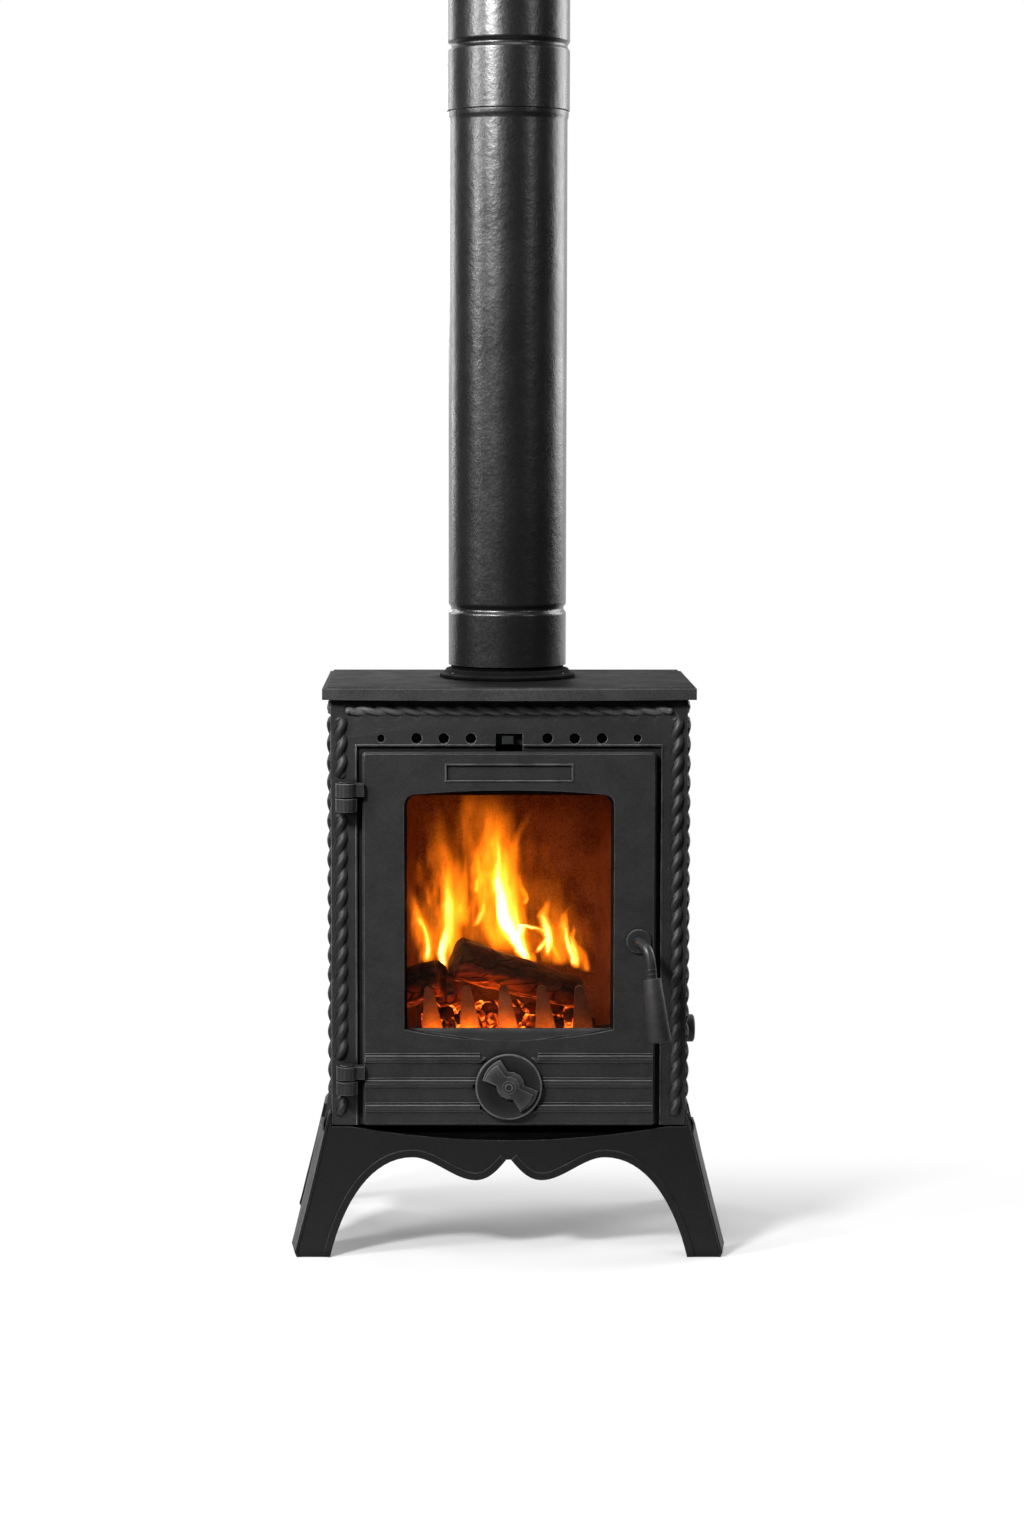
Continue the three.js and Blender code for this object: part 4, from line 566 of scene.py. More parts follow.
@dataclass
class FluePipes:
    """Two lengths of rolled pipe with inward beads, the upper one socketed over the lower."""

    radius: float = 62.5
    wall: float = 1.5
    bead: float = 2.6
    bead_half: float = 5.0
    lower_bead: float = 60.0
    swage: float = 1.2
    swage_half: float = 4.5
    socket_bead: float = 67.0
    steps: int = 128
    chamfer: float = 0.5
    plain: float = 1.5  # the straight piece beside a bead or a swage
    socket_gap: float = 0.3
    slack: float = 0.05  # between the upper pipe and its CAD box
    collar_flange: float = 72.0
    collar_lip: float = 4.2
    collar_cone: float = 65.5
    collar_rise: float = 9.0
    ring_pitch: float = 40.0

    def bead_points(self, radius: float, middle: float) -> list[tuple[float, float]]:
        """Gives a rounded inward bead's profile at a radius and height, with a plain ring on either side."""
        shares = [i / 12 for i in range(13)]
        deep, half = self.bead, self.bead_half
        bead = [(radius - deep * math.sin(math.pi * s) ** 1.5, middle + (2 * s - 1) * half) for s in shares]
        beyond = half + self.plain
        return [(radius, middle - beyond)] + bead + [(radius, middle + beyond)]

    def wall_points(self, radius: float, low: float, high: float) -> list[tuple[float, float]]:
        """Gives evenly spaced rings up a plain wall, without its ends."""
        count = max(1, round((high - low) / self.ring_pitch))
        return [(radius, low + (high - low) * i / count) for i in range(1, count)]

    def build(self, finishes: Finishes) -> None:
        """Builds the pipes and the collar."""
        low, high = (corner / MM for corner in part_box("flue_pipe_lower"))
        centre = (low + high) / 2
        foot, head = (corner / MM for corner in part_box("flue_pipe_upper"))
        socket, top = foot.z, head.z
        axis = Vector((centre.x, centre.y, 0))
        outer = [(self.radius, low.z)] + self.bead_points(self.radius, low.z + self.lower_bead)
        edge = socket - self.socket_gap
        above = low.z + self.lower_bead + 2 * self.bead_half
        outer += self.wall_points(self.radius, above, edge - 3 * self.swage_half)
        swage = self.radius + self.swage
        outer += [
            (self.radius, edge - 2 * self.swage_half - self.plain), (self.radius, edge - 2 * self.swage_half),
            (self.radius + self.swage * 0.8, edge - 1.3 * self.swage_half), (swage, edge - self.swage_half),
            (swage, edge - 0.4), (swage - 0.4, edge), (self.radius, edge), (self.radius, high.z),
        ]
        bore = self.radius - self.wall
        inner = [(bore, high.z)] + self.bead_points(bore, low.z + self.lower_bead)[::-1] + [(bore, low.z)]
        bm = turned(outer + inner, axis, Axis.Z, self.steps, closed=True)
        published(bm, "lower_pipe", Body.STOVE, finishes.enamel, ("flue_pipe_lower",))
        wide, cut = (head.x - foot.x) / 2 - self.slack, self.chamfer
        bore, bead = wide - self.wall, socket + self.socket_bead
        outer = [(wide - cut, socket), (wide, socket + cut)] + self.bead_points(wide, bead)
        outer += [(wide, top - cut), (wide - cut, top)]
        inner = [(bore, top)] + self.bead_points(bore, bead)[::-1] + [(bore, socket)]
        bm = turned(outer + inner, axis, Axis.Z, self.steps, closed=True)
        published(bm, "upper_pipe", Body.STOVE, finishes.enamel, ("flue_pipe_upper",))
        self.collar(axis, finishes)

    def collar(self, axis: Vector, finishes: Finishes) -> None:
        """Builds the flared collar that the lower pipe stands on."""
        low, high = (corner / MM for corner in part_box("flue_collar"))
        spigot = self.radius - self.wall - 1.2
        bore = spigot - 3.2
        foot, shoulder = low.z, low.z + self.collar_rise
        lip, flange, cone = foot + self.collar_lip, self.collar_flange, self.collar_cone
        profile = [
            (bore, foot), (flange - 0.6, foot), (flange, foot + 0.6), (flange, lip - 0.9), (flange - 0.9, lip),
            (cone + 2.2, lip + 0.9), (cone + 0.8, lip + 2.4), (cone, shoulder - 0.8), (cone - 0.8, shoulder),
            (spigot, shoulder), (spigot, high.z - 0.4), (spigot - 0.4, high.z), (bore, high.z),
        ]
        bm = turned(profile, axis, Axis.Z, self.steps, closed=True)
        # The collar takes the darker iron as painted shade.
        published(bm, "cast_collar", Body.STOVE, finishes.top_shade_iron, ("flue_collar",))


@dataclass
class RopeMoulding:
    """Cast rope along the panels' edges: two fat strands wound right-handed and half sunk in the panel."""

    strands: int = 2
    strand: float = 5.0  # a strand's radius
    offset: float = 2.4  # a strand's centre from the rope's
    sink: float = 2.6
    pitch: float = 20.3  # from one bump to the next
    points: int = 36
    step: float = 1.5
    taper: float = 7.0
    overrun: float = 4.0  # how far the front's ropes pass or stop short of the corners
    front_x: float = 173.5
    front_low: float = 144.25
    front_high: float = 561.1
    top_z: float = 570.1
    top_size: float = 0.78
    knot: float = 3.4
    knot_x: float = 165.6
    knot_proud: float = 0.8
    side_face: float = 184.0
    side_low: float = 161.2
    side_high: float = 564.05
    side_top: float = 571.3
    side_front: float = -71.8
    side_rear: float = 123.6
    hinge_clear: float = 17.0

    def run(
        self, start: Vector, end: Vector, outward: Vector, span: tuple[float, float] | None = None, size: float = 1.0
    ) -> BMesh:
        """Lays one straight run of rope.

        Args:
            start: Where the panel's rope starts, on the panel's face.
            end: Where it ends.
            outward: The way the panel faces.
            span: The stretch that is built, as distances from the start.
            size: The strands' size as a share of the full rope's.

        Returns:
            A mesh of its own.
        """
        bm = bmesh.new()
        along = (end - start).normalized()
        length = (end - start).length
        count = round(length / self.pitch)
        lead = self.strands * length / count
        first, last = span or (0.0, length)
        base = start + along * first - outward * self.sink * size
        turn = math.tau * (first - length / count / 2) / lead
        across = along.cross(outward)
        ring = []
        for i in range(self.points):
            # The section is the strands' outline about the rope's centre.
            angle = math.tau * i / self.points
            reaches = []
            for strand in range(self.strands):
                off = angle - turn - math.tau * strand / self.strands
                inside = self.strand**2 - (self.offset * math.sin(off)) ** 2
                if inside > 0:
                    reaches.append((self.offset * math.cos(off) + math.sqrt(inside)) * size)
            ring.append(bm.verts.new(base + (outward * math.cos(angle) + across * math.sin(angle)) * max(reaches)))
        edges = [bm.edges.new((ring[i], ring[(i + 1) % self.points])) for i in range(self.points)]
        bm.faces.new(ring)
        steps = max(8, round((last - first) / self.step))
        made = bmesh.ops.spin(
            bm, geom=ring + edges, cent=base, axis=along, dvec=along * ((last - first) / steps),
            angle=math.tau * (last - first) / lead, steps=steps,
        )
        tail = [v for v in made["geom_last"] if isinstance(v, BMVert)]
        rim = [e for e in made["geom_last"] if isinstance(e, BMEdge)]
        bmesh.ops.contextual_create(bm, geom=tail + rim)
        # Both ends are drawn in to a blunt tip.
        for vert in bm.verts:
            way = (vert.co - base).dot(along)
            near = min(way, last - first - way)
            if -0.01 <= near < self.taper:
                share = math.sqrt(max(0.02, 1 - ((self.taper - near) / self.taper) ** 2))
                centre = base + along * way
                vert.co = centre + (vert.co - centre) * share
        return bm

    def build(self, finishes: Finishes) -> None:
        """Builds the ropes of the front frame and of both side panels."""
        out = Vector((0, -1, 0))
        lower, upper = HINGE_JOINTS
        height = self.front_high - self.front_low
        gaps = [joint + way * self.hinge_clear - self.front_low for joint in (lower, upper) for way in (-1, 1)]
        stops = [0.0, *gaps, height + self.overrun]
        foot = Vector((-self.front_x, FRONT_FACE, self.front_low))
        head = Vector((-self.front_x, FRONT_FACE, self.front_high))
        for index, span in enumerate(zip(stops[::2], stops[1::2]), 1):
            published(self.run(foot, head, out, span), f"front_rope_left_{index}", Body.STOVE, finishes.iron)
        shift = Vector((2 * self.front_x, 0, 0))
        bm = self.run(foot + shift, head + shift, out, (0.0, stops[-1]))
        published(bm, "front_rope_right", Body.STOVE, finishes.iron)
        left = Vector((-self.front_x, FRONT_FACE, self.top_z))
        bm = self.run(left, left + shift, out, (self.overrun, 2 * self.front_x - self.overrun), self.top_size)
        for side in (-1, 1):
            spot = Matrix.Translation((side * self.knot_x, FRONT_FACE - self.knot_proud, self.top_z))
            bmesh.ops.create_uvsphere(bm, u_segments=20, v_segments=12, radius=self.knot, matrix=spot)
        # The top rope takes the pale iron: painted light, since it lies in the top plate's shadow.
        published(bm, "front_rope_top", Body.STOVE, finishes.highlight_iron)
        for side, label in ((-1, "left"), (1, "right")):
            out = Vector((side, 0, 0))
            x, front, rear = side * self.side_face, self.side_front, self.side_rear
            runs = [("top", Vector((x, rear, self.side_top)), Vector((x, front, self.side_top)))]
            for place, y in (("front", front), ("rear", rear)):
                runs.append((place, Vector((x, y, self.side_low)), Vector((x, y, self.side_high))))
            for place, start, end in runs:
                published(self.run(start, end, out), f"side_rope_{label}_{place}", Body.STOVE, finishes.iron)


@dataclass
class AirDial:
    """The round air control: a cast disc with a raised two-bladed grip inside a stepped ridge."""

    radius: float = 34.7
    rim: float = 1.6
    bevel: float = 0.45
    root: float = 0.8  # how far the grip starts inside the disc
    blade: float = 26.5
    blade_proud: float = 3.6
    blade_angle: float = 140.0
    blade_span: float = 47.0
    blade_waist: float = 0.62  # the blades' width at the hub as a share of that at the tip
    hub: float = 11.9
    step_out: float = 2.9
    step_proud: float = 2.0
    step_shift: float = 1.5
    socket: float = 6.2
    eyelet: float = 2.5
    steps: int = 96

    def grip(self, bm: BMesh, centre: Vector, grow: float, proud: float) -> None:
        """Raises a two-bladed outline from the disc's face.

        Args:
            bm: The mesh that it goes into.
            centre: The disc's centre, on its face.
            grow: How far the outline stands outside the blades.
            proud: Its height above the face.
        """
        outline = []
        half = math.radians(self.blade_span / 2)
        hub, blade = self.hub + grow, self.blade + grow
        open_angle = math.asin((self.blade * math.sin(half) * self.blade_waist + grow) / hub)
        for turn in (0.0, math.pi):
            heading = math.radians(self.blade_angle) + turn
            widen = grow / blade
            for share in (-1.0, -0.5, 0.0, 0.5, 1.0):
                outline.append((blade, heading + share * (half + widen)))
            for share in (0.0, 0.25, 0.5, 0.75, 1.0):
                start, end = heading + open_angle, heading + math.pi - open_angle
                outline.append((hub, start + share * (end - start)))
        extruded(bm, [centre + Vector((r * math.cos(a), 0, r * math.sin(a))) for r, a in outline], (0, -proud, 0))

    def build(self, finishes: Finishes) -> None:
        """Builds the dial."""
        low, high = (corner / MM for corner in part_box("air_dial"))
        centre = Vector(((low.x + high.x) / 2, 0, (low.z + high.z) / 2))
        face, back = low.y + self.blade_proud, high.y
        radius, rim = self.radius, self.radius - self.rim
        profile = [
            (0, face + 0.4), (rim - 1.2, face + 0.4), (rim - 0.3, face), (radius - 0.8, face), (radius, face + 0.9),
            (radius, back - 0.5), (radius - 0.5, back), (0, back),
        ]
        bm = turned(profile, centre, Axis.Y, self.steps)
        disc = published(bm, "dial_disc", Body.DIAL, finishes.low_shade_iron, ("air_dial",))

        def on_rim(face: MeshPolygon) -> bool:
            """Tells whether a face belongs to the front of the disc's rim."""
            away = face.center - centre * MM
            return face.normal.y < -0.3 and math.hypot(away.x, away.z) > rim * MM

        # The rim's front takes the pale iron: a painted highlight.
        faced(disc, finishes.highlight_iron, on_rim)
        blades = ("blades", 0.0, self.blade_proud - 0.1)
        for label, grow, proud in (("step", self.step_out, self.step_proud), blades):
            bm = bmesh.new()
            shift = self.step_shift if grow else 0.0
            self.grip(bm, centre + Vector((shift, face + self.root, shift)), grow, proud + self.root)
            softened(bm, self.bevel)
            piece = published(bm, f"dial_{label}", Body.DIAL, finishes.iron)
            # The ridge's and blades' upward-facing sides take the pale iron: a painted highlight.
            faced(piece, finishes.highlight_iron, lambda face: abs(face.normal.y) < 0.9 and face.normal.z > 0.1)
        # Pale rings round the screw's socket and eyelet: a painted highlight.
        bm = bmesh.new()
        top = low.y
        for bore, wall in ((self.socket, 1.0), (self.eyelet, 1.9)):
            ring = [(bore, top + 0.5), (bore + 0.3, top), (bore + wall - 0.3, top), (bore + wall, top + 0.5)]
            ring += [(bore + wall, top + 1.4), (bore, top + 1.4)]
            absorb(bm, turned(ring, centre, Axis.Y, 48, closed=True))
        published(bm, "dial_screw_rim", Body.DIAL, finishes.highlight_iron)


@dataclass
class DoorHandle:
    """The bent rod handle with a tapered, powder-coated grip."""

    rod: float = 5.4
    reach: float = 24.0
    grip: float = 66.0
    grip_top: float = 9.5
    grip_end: float = 11.9
    gap: float = 0.3
    band_places: tuple[float, ...] = (-8.5, -3.6)  # from the grip's mouth
    mouth_y: float = -107.309
    x: float = 134.0
    z: float = 331.83

    def path(self) -> list[Vector]:
        """Gives the rod's centre line."""
        reach, rod = self.reach, self.rod
        places = [
            (0, 0, 0), (0.2, reach / 2, 0.2), (1.2, reach, -0.4), (1.9, reach + rod, -2.6),
            (2.1, reach + 1.4 * rod, -5.6), (2.4, reach + 1.7 * rod, -8),
        ]
        return [Vector((self.x + x * rod, self.mouth_y - out, self.z + z * rod)) for x, out, z in places]

    def build(self, finishes: Finishes) -> None:
        """Builds the rod and the grip."""
        curve = bpy.data.curves.new("handle_line", "CURVE")
        curve.dimensions = "3D"
        spline = curve.splines.new("NURBS")
        points = self.path()
        points.insert(0, points[0] + Vector((0, 3, 0)))
        spline.points.add(len(points) - 1)
        for target, point in zip(spline.points, points):
            target.co = (*(point * MM), 1.0)
        spline.use_endpoint_u = True
        spline.order_u = 3
        spline.resolution_u = 12
        curve.bevel_depth = self.rod * MM
        curve.bevel_resolution = 8
        curve.use_fill_caps = True
        holder = bpy.data.objects.new("handle_line", curve)
        bpy.context.scene.collection.objects.link(holder)
        shown = holder.evaluated_get(bpy.context.evaluated_depsgraph_get())
        bm = bmesh.new()
        bm.from_mesh(bpy.data.meshes.new_from_object(shown))
        bpy.data.objects.remove(holder)
        published(bm, "bent_rod", Body.HANDLE, finishes.rod, ("handle_rod",), scale=1.0)
        end = points[-1]
        heading = (points[-1] - points[-2]).normalized()
        place = placed(end - heading * (2 * self.rod - self.gap), heading)
        rod, top, foot, long = self.rod, self.grip_top, self.grip_end, self.grip
        profile = [
            (0, 0), (rod + 0.4, 0), (rod + 0.6, 0.6), (top - 1.2, 0.6), (top - 0.3, 1.0), (top, 1.9),
            (foot, long - 2.2), (foot - 0.4, long - 1.0), (foot - 1.6, long - 0.2), (0, long),
        ]
        bm = turned(profile, Vector(), Axis.Z, 56)
        bmesh.ops.transform(bm, matrix=place, verts=bm.verts)
        published(bm, "coated_grip", Body.HANDLE, finishes.grip, ("handle_grip",))
        bm = bmesh.new()
        ring = [(rod - 0.2, -1.3), (rod + 0.35, -0.8), (rod + 0.45, 0), (rod + 0.35, 0.8), (rod - 0.2, 1.3)]
        for height in self.band_places:
            band = turned(ring, Vector((0, 0, height)), Axis.Z, 40, closed=True)
            bmesh.ops.transform(band, matrix=place, verts=band.verts)
            absorb(bm, band)
        published(bm, "rod_bands", Body.HANDLE, finishes.rod)


@dataclass
class BodyCastings:
    """The body's cast panels, its plates and the door, copied from the model with rounded edges."""

    copies: tuple[tuple[str, str, Body], ...] = (
        ("front_frame", "cast_front", Body.STOVE),
        ("left_side_panel", "cast_left_side", Body.STOVE),
        ("right_side_panel", "cast_right_side", Body.STOVE),
        ("rear_panel", "cast_rear", Body.STOVE),
        ("rear_outlet_cover", "cast_outlet_cover", Body.STOVE),
        ("top_plate", "cast_top", Body.STOVE),
        ("door", "cast_door", Body.DOOR),
    )
    edge: float = 0.5
    sill: float = 6.0  # how far the window's opening reaches beyond the glass
    rope_row: tuple[float, float] = (558.0, 580.0)
    rope_side: tuple[float, float] = (163.5, 183.5)
    rope_proud: float = 5.4
    knuckle_reach: float = 16.5
    chamfer_foot: float = 591.3
    rim_top: float = 593.7
    rim_groove: float = 0.9
    plate_top: float = 595.3
    door_face: float = -101.61
    plaque_z: float = 506.7
    plaque_half: tuple[float, float] = (65.0, 8.3)
    plaque_sink: float = 1.5

    def build(self, finishes: Finishes) -> None:
        """Builds the copies."""
        shapings = {"front_frame": self.clear_ropes, "top_plate": self.step_rim, "door": self.sink_plaque}
        for node, name, body in self.copies:
            # The top plate takes the paler iron: painted light on its rim.
            finish = finishes.lit_rim_iron if name == "cast_top" else finishes.iron
            piece = smooth_copy(node, name, body, finish, self.edge, shapings.get(node))
            if node == "door":
                self.soot_and_shade_opening(piece, finishes)
            elif node == "top_plate":
                # The plate's upward faces take the darker copy: painted shade.
                faced(piece, finishes.top_shade_iron, lambda face: face.normal.z > 0.97)

    def clear_ropes(self, bm: BMesh) -> None:
        """Sinks the slanted ovals along the frame's edges, because wound ropes stand in their place."""
        for vert in bm.verts:
            across, proud, height = vert.co / MM
            top = self.rope_row[0] < height < self.rope_row[1] and abs(across) < self.rope_side[1]
            side = self.rope_side[0] < abs(across) < self.rope_side[1] and all(
                across > 0 or abs(height - joint) > self.knuckle_reach for joint in HINGE_JOINTS
            )
            if (top or side) and FRONT_FACE - self.rope_proud < proud < FRONT_FACE - 0.05:
                vert.co.y = (FRONT_FACE + 0.3) * MM

    def step_rim(self, bm: BMesh) -> None:
        """Turns the plate's chamfer into a low step with a groove in it."""
        for vert in bm.verts:
            if abs(vert.co.z / MM - self.chamfer_foot) < 0.05:
                vert.co.z = self.rim_top * MM
        bm.normal_update()
        band = [
            face for face in bm.faces
            if self.rim_top < face.calc_center_median().z / MM < self.plate_top and face.normal.z > 0.5
        ]
        groove = self.rim_groove * MM
        bmesh.ops.inset_region(bm, faces=band, thickness=groove, depth=-groove, use_even_offset=True)

    def sink_plaque(self, bm: BMesh) -> None:
        """Sinks the floor of the plain plaque."""
        for vert in bm.verts:
            across, proud, height = vert.co / MM
            inside = abs(across) < self.plaque_half[0] and abs(height - self.plaque_z) < self.plaque_half[1]
            if inside and proud > self.door_face - 0.4:
                vert.co.y += self.plaque_sink * MM

    def soot_and_shade_opening(self, door: Object, finishes: Finishes) -> None:
        """Paints shade on the window's opening: near black, with some soot, where it faces up less, and darker iron
        on the sill.
        """
        low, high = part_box("window_glass")
        front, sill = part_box("door")[0].y + 0.5 * MM, self.sill * MM

        def in_opening(face: MeshPolygon) -> bool:
            """Tells whether a face belongs to the opening's walls."""
            spot = face.center
            inside = low.x < spot.x < high.x and low.z - sill < spot.z < high.z + sill
            return inside and spot.y > front and abs(face.normal.y) < 0.97

        # Painted shade on the opening's walls, with some soot, and on its sill.
        faced(door, finishes.shade_black_iron, lambda face: in_opening(face) and face.normal.z < 0.4)
        faced(door, finishes.low_shade_iron, lambda face: in_opening(face) and face.normal.z >= 0.4)


@dataclass
class LegCastings:
    """The front and rear leg castings: a scalloped apron between splayed legs that turn back at the sides."""

    top: float = 135.5
    top_half: float = 191.0
    corner: float = 5.0
    outer_bend: float = 206.0
    foot_outer: float = 223.0
    foot_inner: float = 186.0
    notch: float = 101.0
    notch_half: float = 2.6
    lobe: float = 80.0  # the height of the low points beside the notch
    lobe_x: float = 34.6
    arch: float = 103.8  # the height of the high points beside them
    arch_x: float = 100.0
    dip: float = 14.5  # of the upper edge, in the middle
    flange_back: float = 4.5
    dip_half: float = 165.0
    face: float = -119.5
    wall: float = 7.0
    lip_front: float = -105.9
    seat_top: float = 128.4
    shoulder_top: float = 150.4
    body_side: float = 184.7
    splay: float = 13.0
    band: float = 7.5
    band_proud: float = 1.5
    ridge: float = 2.2
    ridge_proud: float = 1.2
    flare: float = 5.0
    foot_return: float = 42.0
    top_return: float = 84.0
    flange_half: float = 176.0
    flange: float = 10.0
    flange_depth: float = 46.0
    steps: int = 16
    rounding: float = 0.6

    def curve(self, points: list[tuple[float, float]]) -> list[Vector]:
        """Gives points along a Bezier curve with these control points, without its start."""
        made = []
        order = len(points) - 1
        for i in range(1, self.steps + 1):
            t = i / self.steps
            spot = Vector((0.0, 0.0))
            for k, point in enumerate(points):
                spot += Vector(point) * (math.comb(order, k) * t**k * (1 - t) ** (order - k))
            made.append(spot)
        return made

    def edge(self) -> list[Vector]:
        """Gives the right half of the apron's lower edge, from the notch to the foot."""
        span = self.arch_x - self.lobe_x
        rise, crest = self.lobe_x * 0.333, self.lobe_x * 0.588
        points = [Vector((self.notch_half, self.notch))]
        middle = (self.notch + self.lobe) / 2
        points += self.curve([points[0], (rise, middle), (crest, self.lobe), (self.lobe_x, self.lobe)])
        before, after = (self.lobe_x + span / 3, self.lobe), (self.arch_x - span / 3, self.arch)
        points += self.curve([points[-1], before, after, (self.arch_x, self.arch)])
        hip = ((self.arch_x + self.foot_inner) / 2, self.arch)
        shin = (self.foot_inner - span * 0.208, self.lobe * 0.714)
        return points + self.curve([points[-1], hip, shin, (self.foot_inner, 0.0)])

    def outer(self) -> list[Vector]:
        """Gives the leg's outer edge, from the foot to the top corner."""
        points = [Vector((self.foot_outer - self.corner / 2, 0.0)), Vector((self.foot_outer, self.corner))]
        return points + self.curve([points[-1], (self.outer_bend, self.top / 2), (self.top_half, self.top)])

    def shoulder(self) -> list[Vector]:
        """Gives the tip that rises beside the body's corner."""
        side, top = self.body_side, self.shoulder_top
        return [Vector(p) for p in ((side + 2.6, top - 1.4), (side + 1.6, top), (side, top), (side, self.top))]

    def prism(self, outline: list[Vector], front: float, back: float) -> BMesh:
        """Extrudes an outline from front to back.

        Args:
            outline: Points of x and z.
            front: Where the outline stands in y.
            back: Where it is carried to.

        Returns:
            A mesh of its own.
        """
        bm = bmesh.new()
        extruded(bm, [(p.x, front, p.y) for p in outline], (0, back - front, 0))
        bmesh.ops.recalc_face_normals(bm, faces=bm.faces)
        return bm

    def strip(self, points: list[Vector], width: float) -> list[Vector]:
        """Gives the outline between a line of points and the same line moved to its left."""
        moved = []
        for i, point in enumerate(points):
            way = (points[min(len(points) - 1, i + 1)] - points[max(0, i - 1)]).normalized()
            moved.append(point + Vector((-way.y, way.x)) * width)
        return points + moved[::-1]

    def returned(self) -> BMesh:
        """Builds the leg's wall that turns back and flares outward, hollowed below by its own arch."""
        bm = bmesh.new()
        line = self.outer()
        grid = bmesh.ops.create_grid(bm, x_segments=12, y_segments=len(line) - 1, size=1.0)["verts"]
        for vert in grid:
            across = (vert.co.x + 1) / 2
            spot = (vert.co.y + 1) / 2 * (len(line) - 1)
            low = min(len(line) - 2, int(spot + 1e-4))
            point = line[low].lerp(line[low + 1], spot - low)
            share = min(1.0, point.y / self.arch)
            depth = self.foot_return + (self.top_return - self.foot_return) * share**2.2
            lean = self.flare / self.foot_return * min(depth * across, self.foot_return * 1.1)
            vert.co = Vector((point.x + lean, self.face + 0.3 + depth * across, point.y))
        bmesh.ops.recalc_face_normals(bm, faces=bm.faces)
        if sum(face.normal.x for face in bm.faces) < 0:
            bmesh.ops.reverse_faces(bm, faces=bm.faces)
        bmesh.ops.solidify(bm, geom=bm.faces, thickness=self.wall)
        # The wall ends under the body.
        geometry = [*bm.verts, *bm.edges, *bm.faces]
        seat = (0, 0, self.seat_top)
        made = bmesh.ops.bisect_plane(bm, geom=geometry, plane_co=seat, plane_no=(0, 0, 1), clear_outer=True)
        rim = [e for e in made["geom_cut"] if isinstance(e, BMEdge)]
        bmesh.ops.contextual_create(bm, geom=rim)
        return bm

    def build(self, finishes: Finishes) -> None:
        """Builds both castings."""
        edge, outer, shoulder = self.edge(), self.outer(), self.shoulder()
        hollow = [Vector((self.dip_half, self.top))]
        hollow += self.curve([hollow[0], (0.0, self.top - 2 * self.dip), (-self.dip_half, self.top)])
        half = edge + outer + shoulder
        left = [Vector((-p.x, p.y)) for p in reversed(half)]
        flange = [(-self.flange_half, self.seat_top - self.flange), (self.flange_half, self.seat_top - self.flange)]
        flange += [(x, self.seat_top) for x, _ in flange[::-1]]
        for node, name, end in (("front_legs", "cast_front_legs", 1), ("rear_legs", "cast_rear_legs", -1)):
            bm = self.prism(half + hollow + left, self.face, self.face + self.wall)
            tip = [shoulder[-1], Vector((self.top_half, self.top))] + shoulder[:-1]
            band, rim = self.strip(edge, self.band), self.strip(outer + shoulder[:2], self.ridge)
            for mirrored in (False, True):
                for outline, front, back in (
                    (band, self.face - self.band_proud, self.face + 1),
                    (rim, self.face - self.ridge_proud, self.face + 1),
                    (tip, self.face + 1, self.lip_front),
                ):
                    absorb(bm, self.prism(outline, front, back), mirrored)
                absorb(bm, self.returned(), mirrored)
            deep = self.face + self.wall + self.flange_depth
            absorb(bm, self.prism([Vector(p) for p in flange], self.face + self.flange_back, deep))
            for vert in bm.verts:
                vert.co.y -= self.splay / self.top * (self.top - vert.co.z)
                vert.co.y = end * vert.co.y + ROW_SHIFT
            # The legs take the darker iron: painted shade.
            piece = published(bm, name, Body.STOVE, finishes.low_shade_iron, (node,))
            # The flange under the body takes near-black iron: painted shade.
            faced(piece, finishes.shade_black_iron, lambda face: self.on_flange(face, end))
            rounded(piece, self.rounding)

    def on_flange(self, face: MeshPolygon, end: int) -> bool:
        """Tells whether a face is on the flange under the body, with end 1 at the front and -1 at the rear."""
        spot = face.center / MM
        behind = end * (spot.y - ROW_SHIFT) > self.face + self.flange_back - 4
        high = spot.z > self.seat_top - self.flange - 0.5
        return behind and high and abs(spot.x) <= self.flange_half and abs(face.normal.x) < 0.5


@dataclass
class DoorRibs:
    """Three cast ribs across the door's foot: a fine lip, a groove and a broad bead, over a painted shadow line."""

    tops: tuple[float, ...] = (162.9, 189.1, 214.9)
    section: tuple[tuple[float, float], ...] = (
        (0.0, 0.0), (0.35, 1.5), (1.0, 1.6), (1.5, 0.5), (2.3, 0.5), (2.7, 2.6), (3.4, 3.2), (6.4, 3.4), (7.6, 3.0),
        (8.0, 2.2), (8.0, 0.0),
    )
    face: float = -126.5
    half: float = 149.0
    clear: float = 30.0  # where they start, under the dial
    bury: float = 0.3
    draft: float = 0.12
    setback: float = 0.6
    line: float = 1.9
    line_proud: float = 0.15
    line_depth: float = 0.6

    def build(self, finishes: Finishes) -> None:
        """Builds the ribs on both sides of the dial."""
        front = self.face + ROW_SHIFT
        bm = bmesh.new()
        for top in self.tops:
            for side in (-1, 1):
                start, end = side * self.clear, side * self.half
                outline = [(start, front + self.bury - proud, top - drop) for drop, proud in self.section]
                last = extruded(bm, outline, (end - start, 0, 0))
                middle = last.calc_center_median()
                for vert in last.verts:
                    vert.co.z += (middle.z - vert.co.z) * self.draft
                    vert.co.y += self.setback
        piece = published(bm, "door_ribs", Body.DOOR, finishes.iron, crease=24)
        # The ribs' upward-facing faces take the pale iron: a painted highlight.
        faced(piece, finishes.highlight_iron, lambda face: face.normal.z > 0.35)
        # A thin near-black strip under each rib: a painted shadow.
        bm = bmesh.new()
        y = front - self.line_proud
        for top in self.tops:
            foot = top - self.section[-1][0]
            for side in (-1, 1):
                near, far = side * self.clear, side * self.half
                outline = [(near, y, foot), (far, y, foot), (far, y, foot - self.line), (near, y, foot - self.line)]
                extruded(bm, outline, (0, self.line_depth, 0))
        published(bm, "rib_shadow_lines", Body.DOOR, finishes.shade_black_iron)


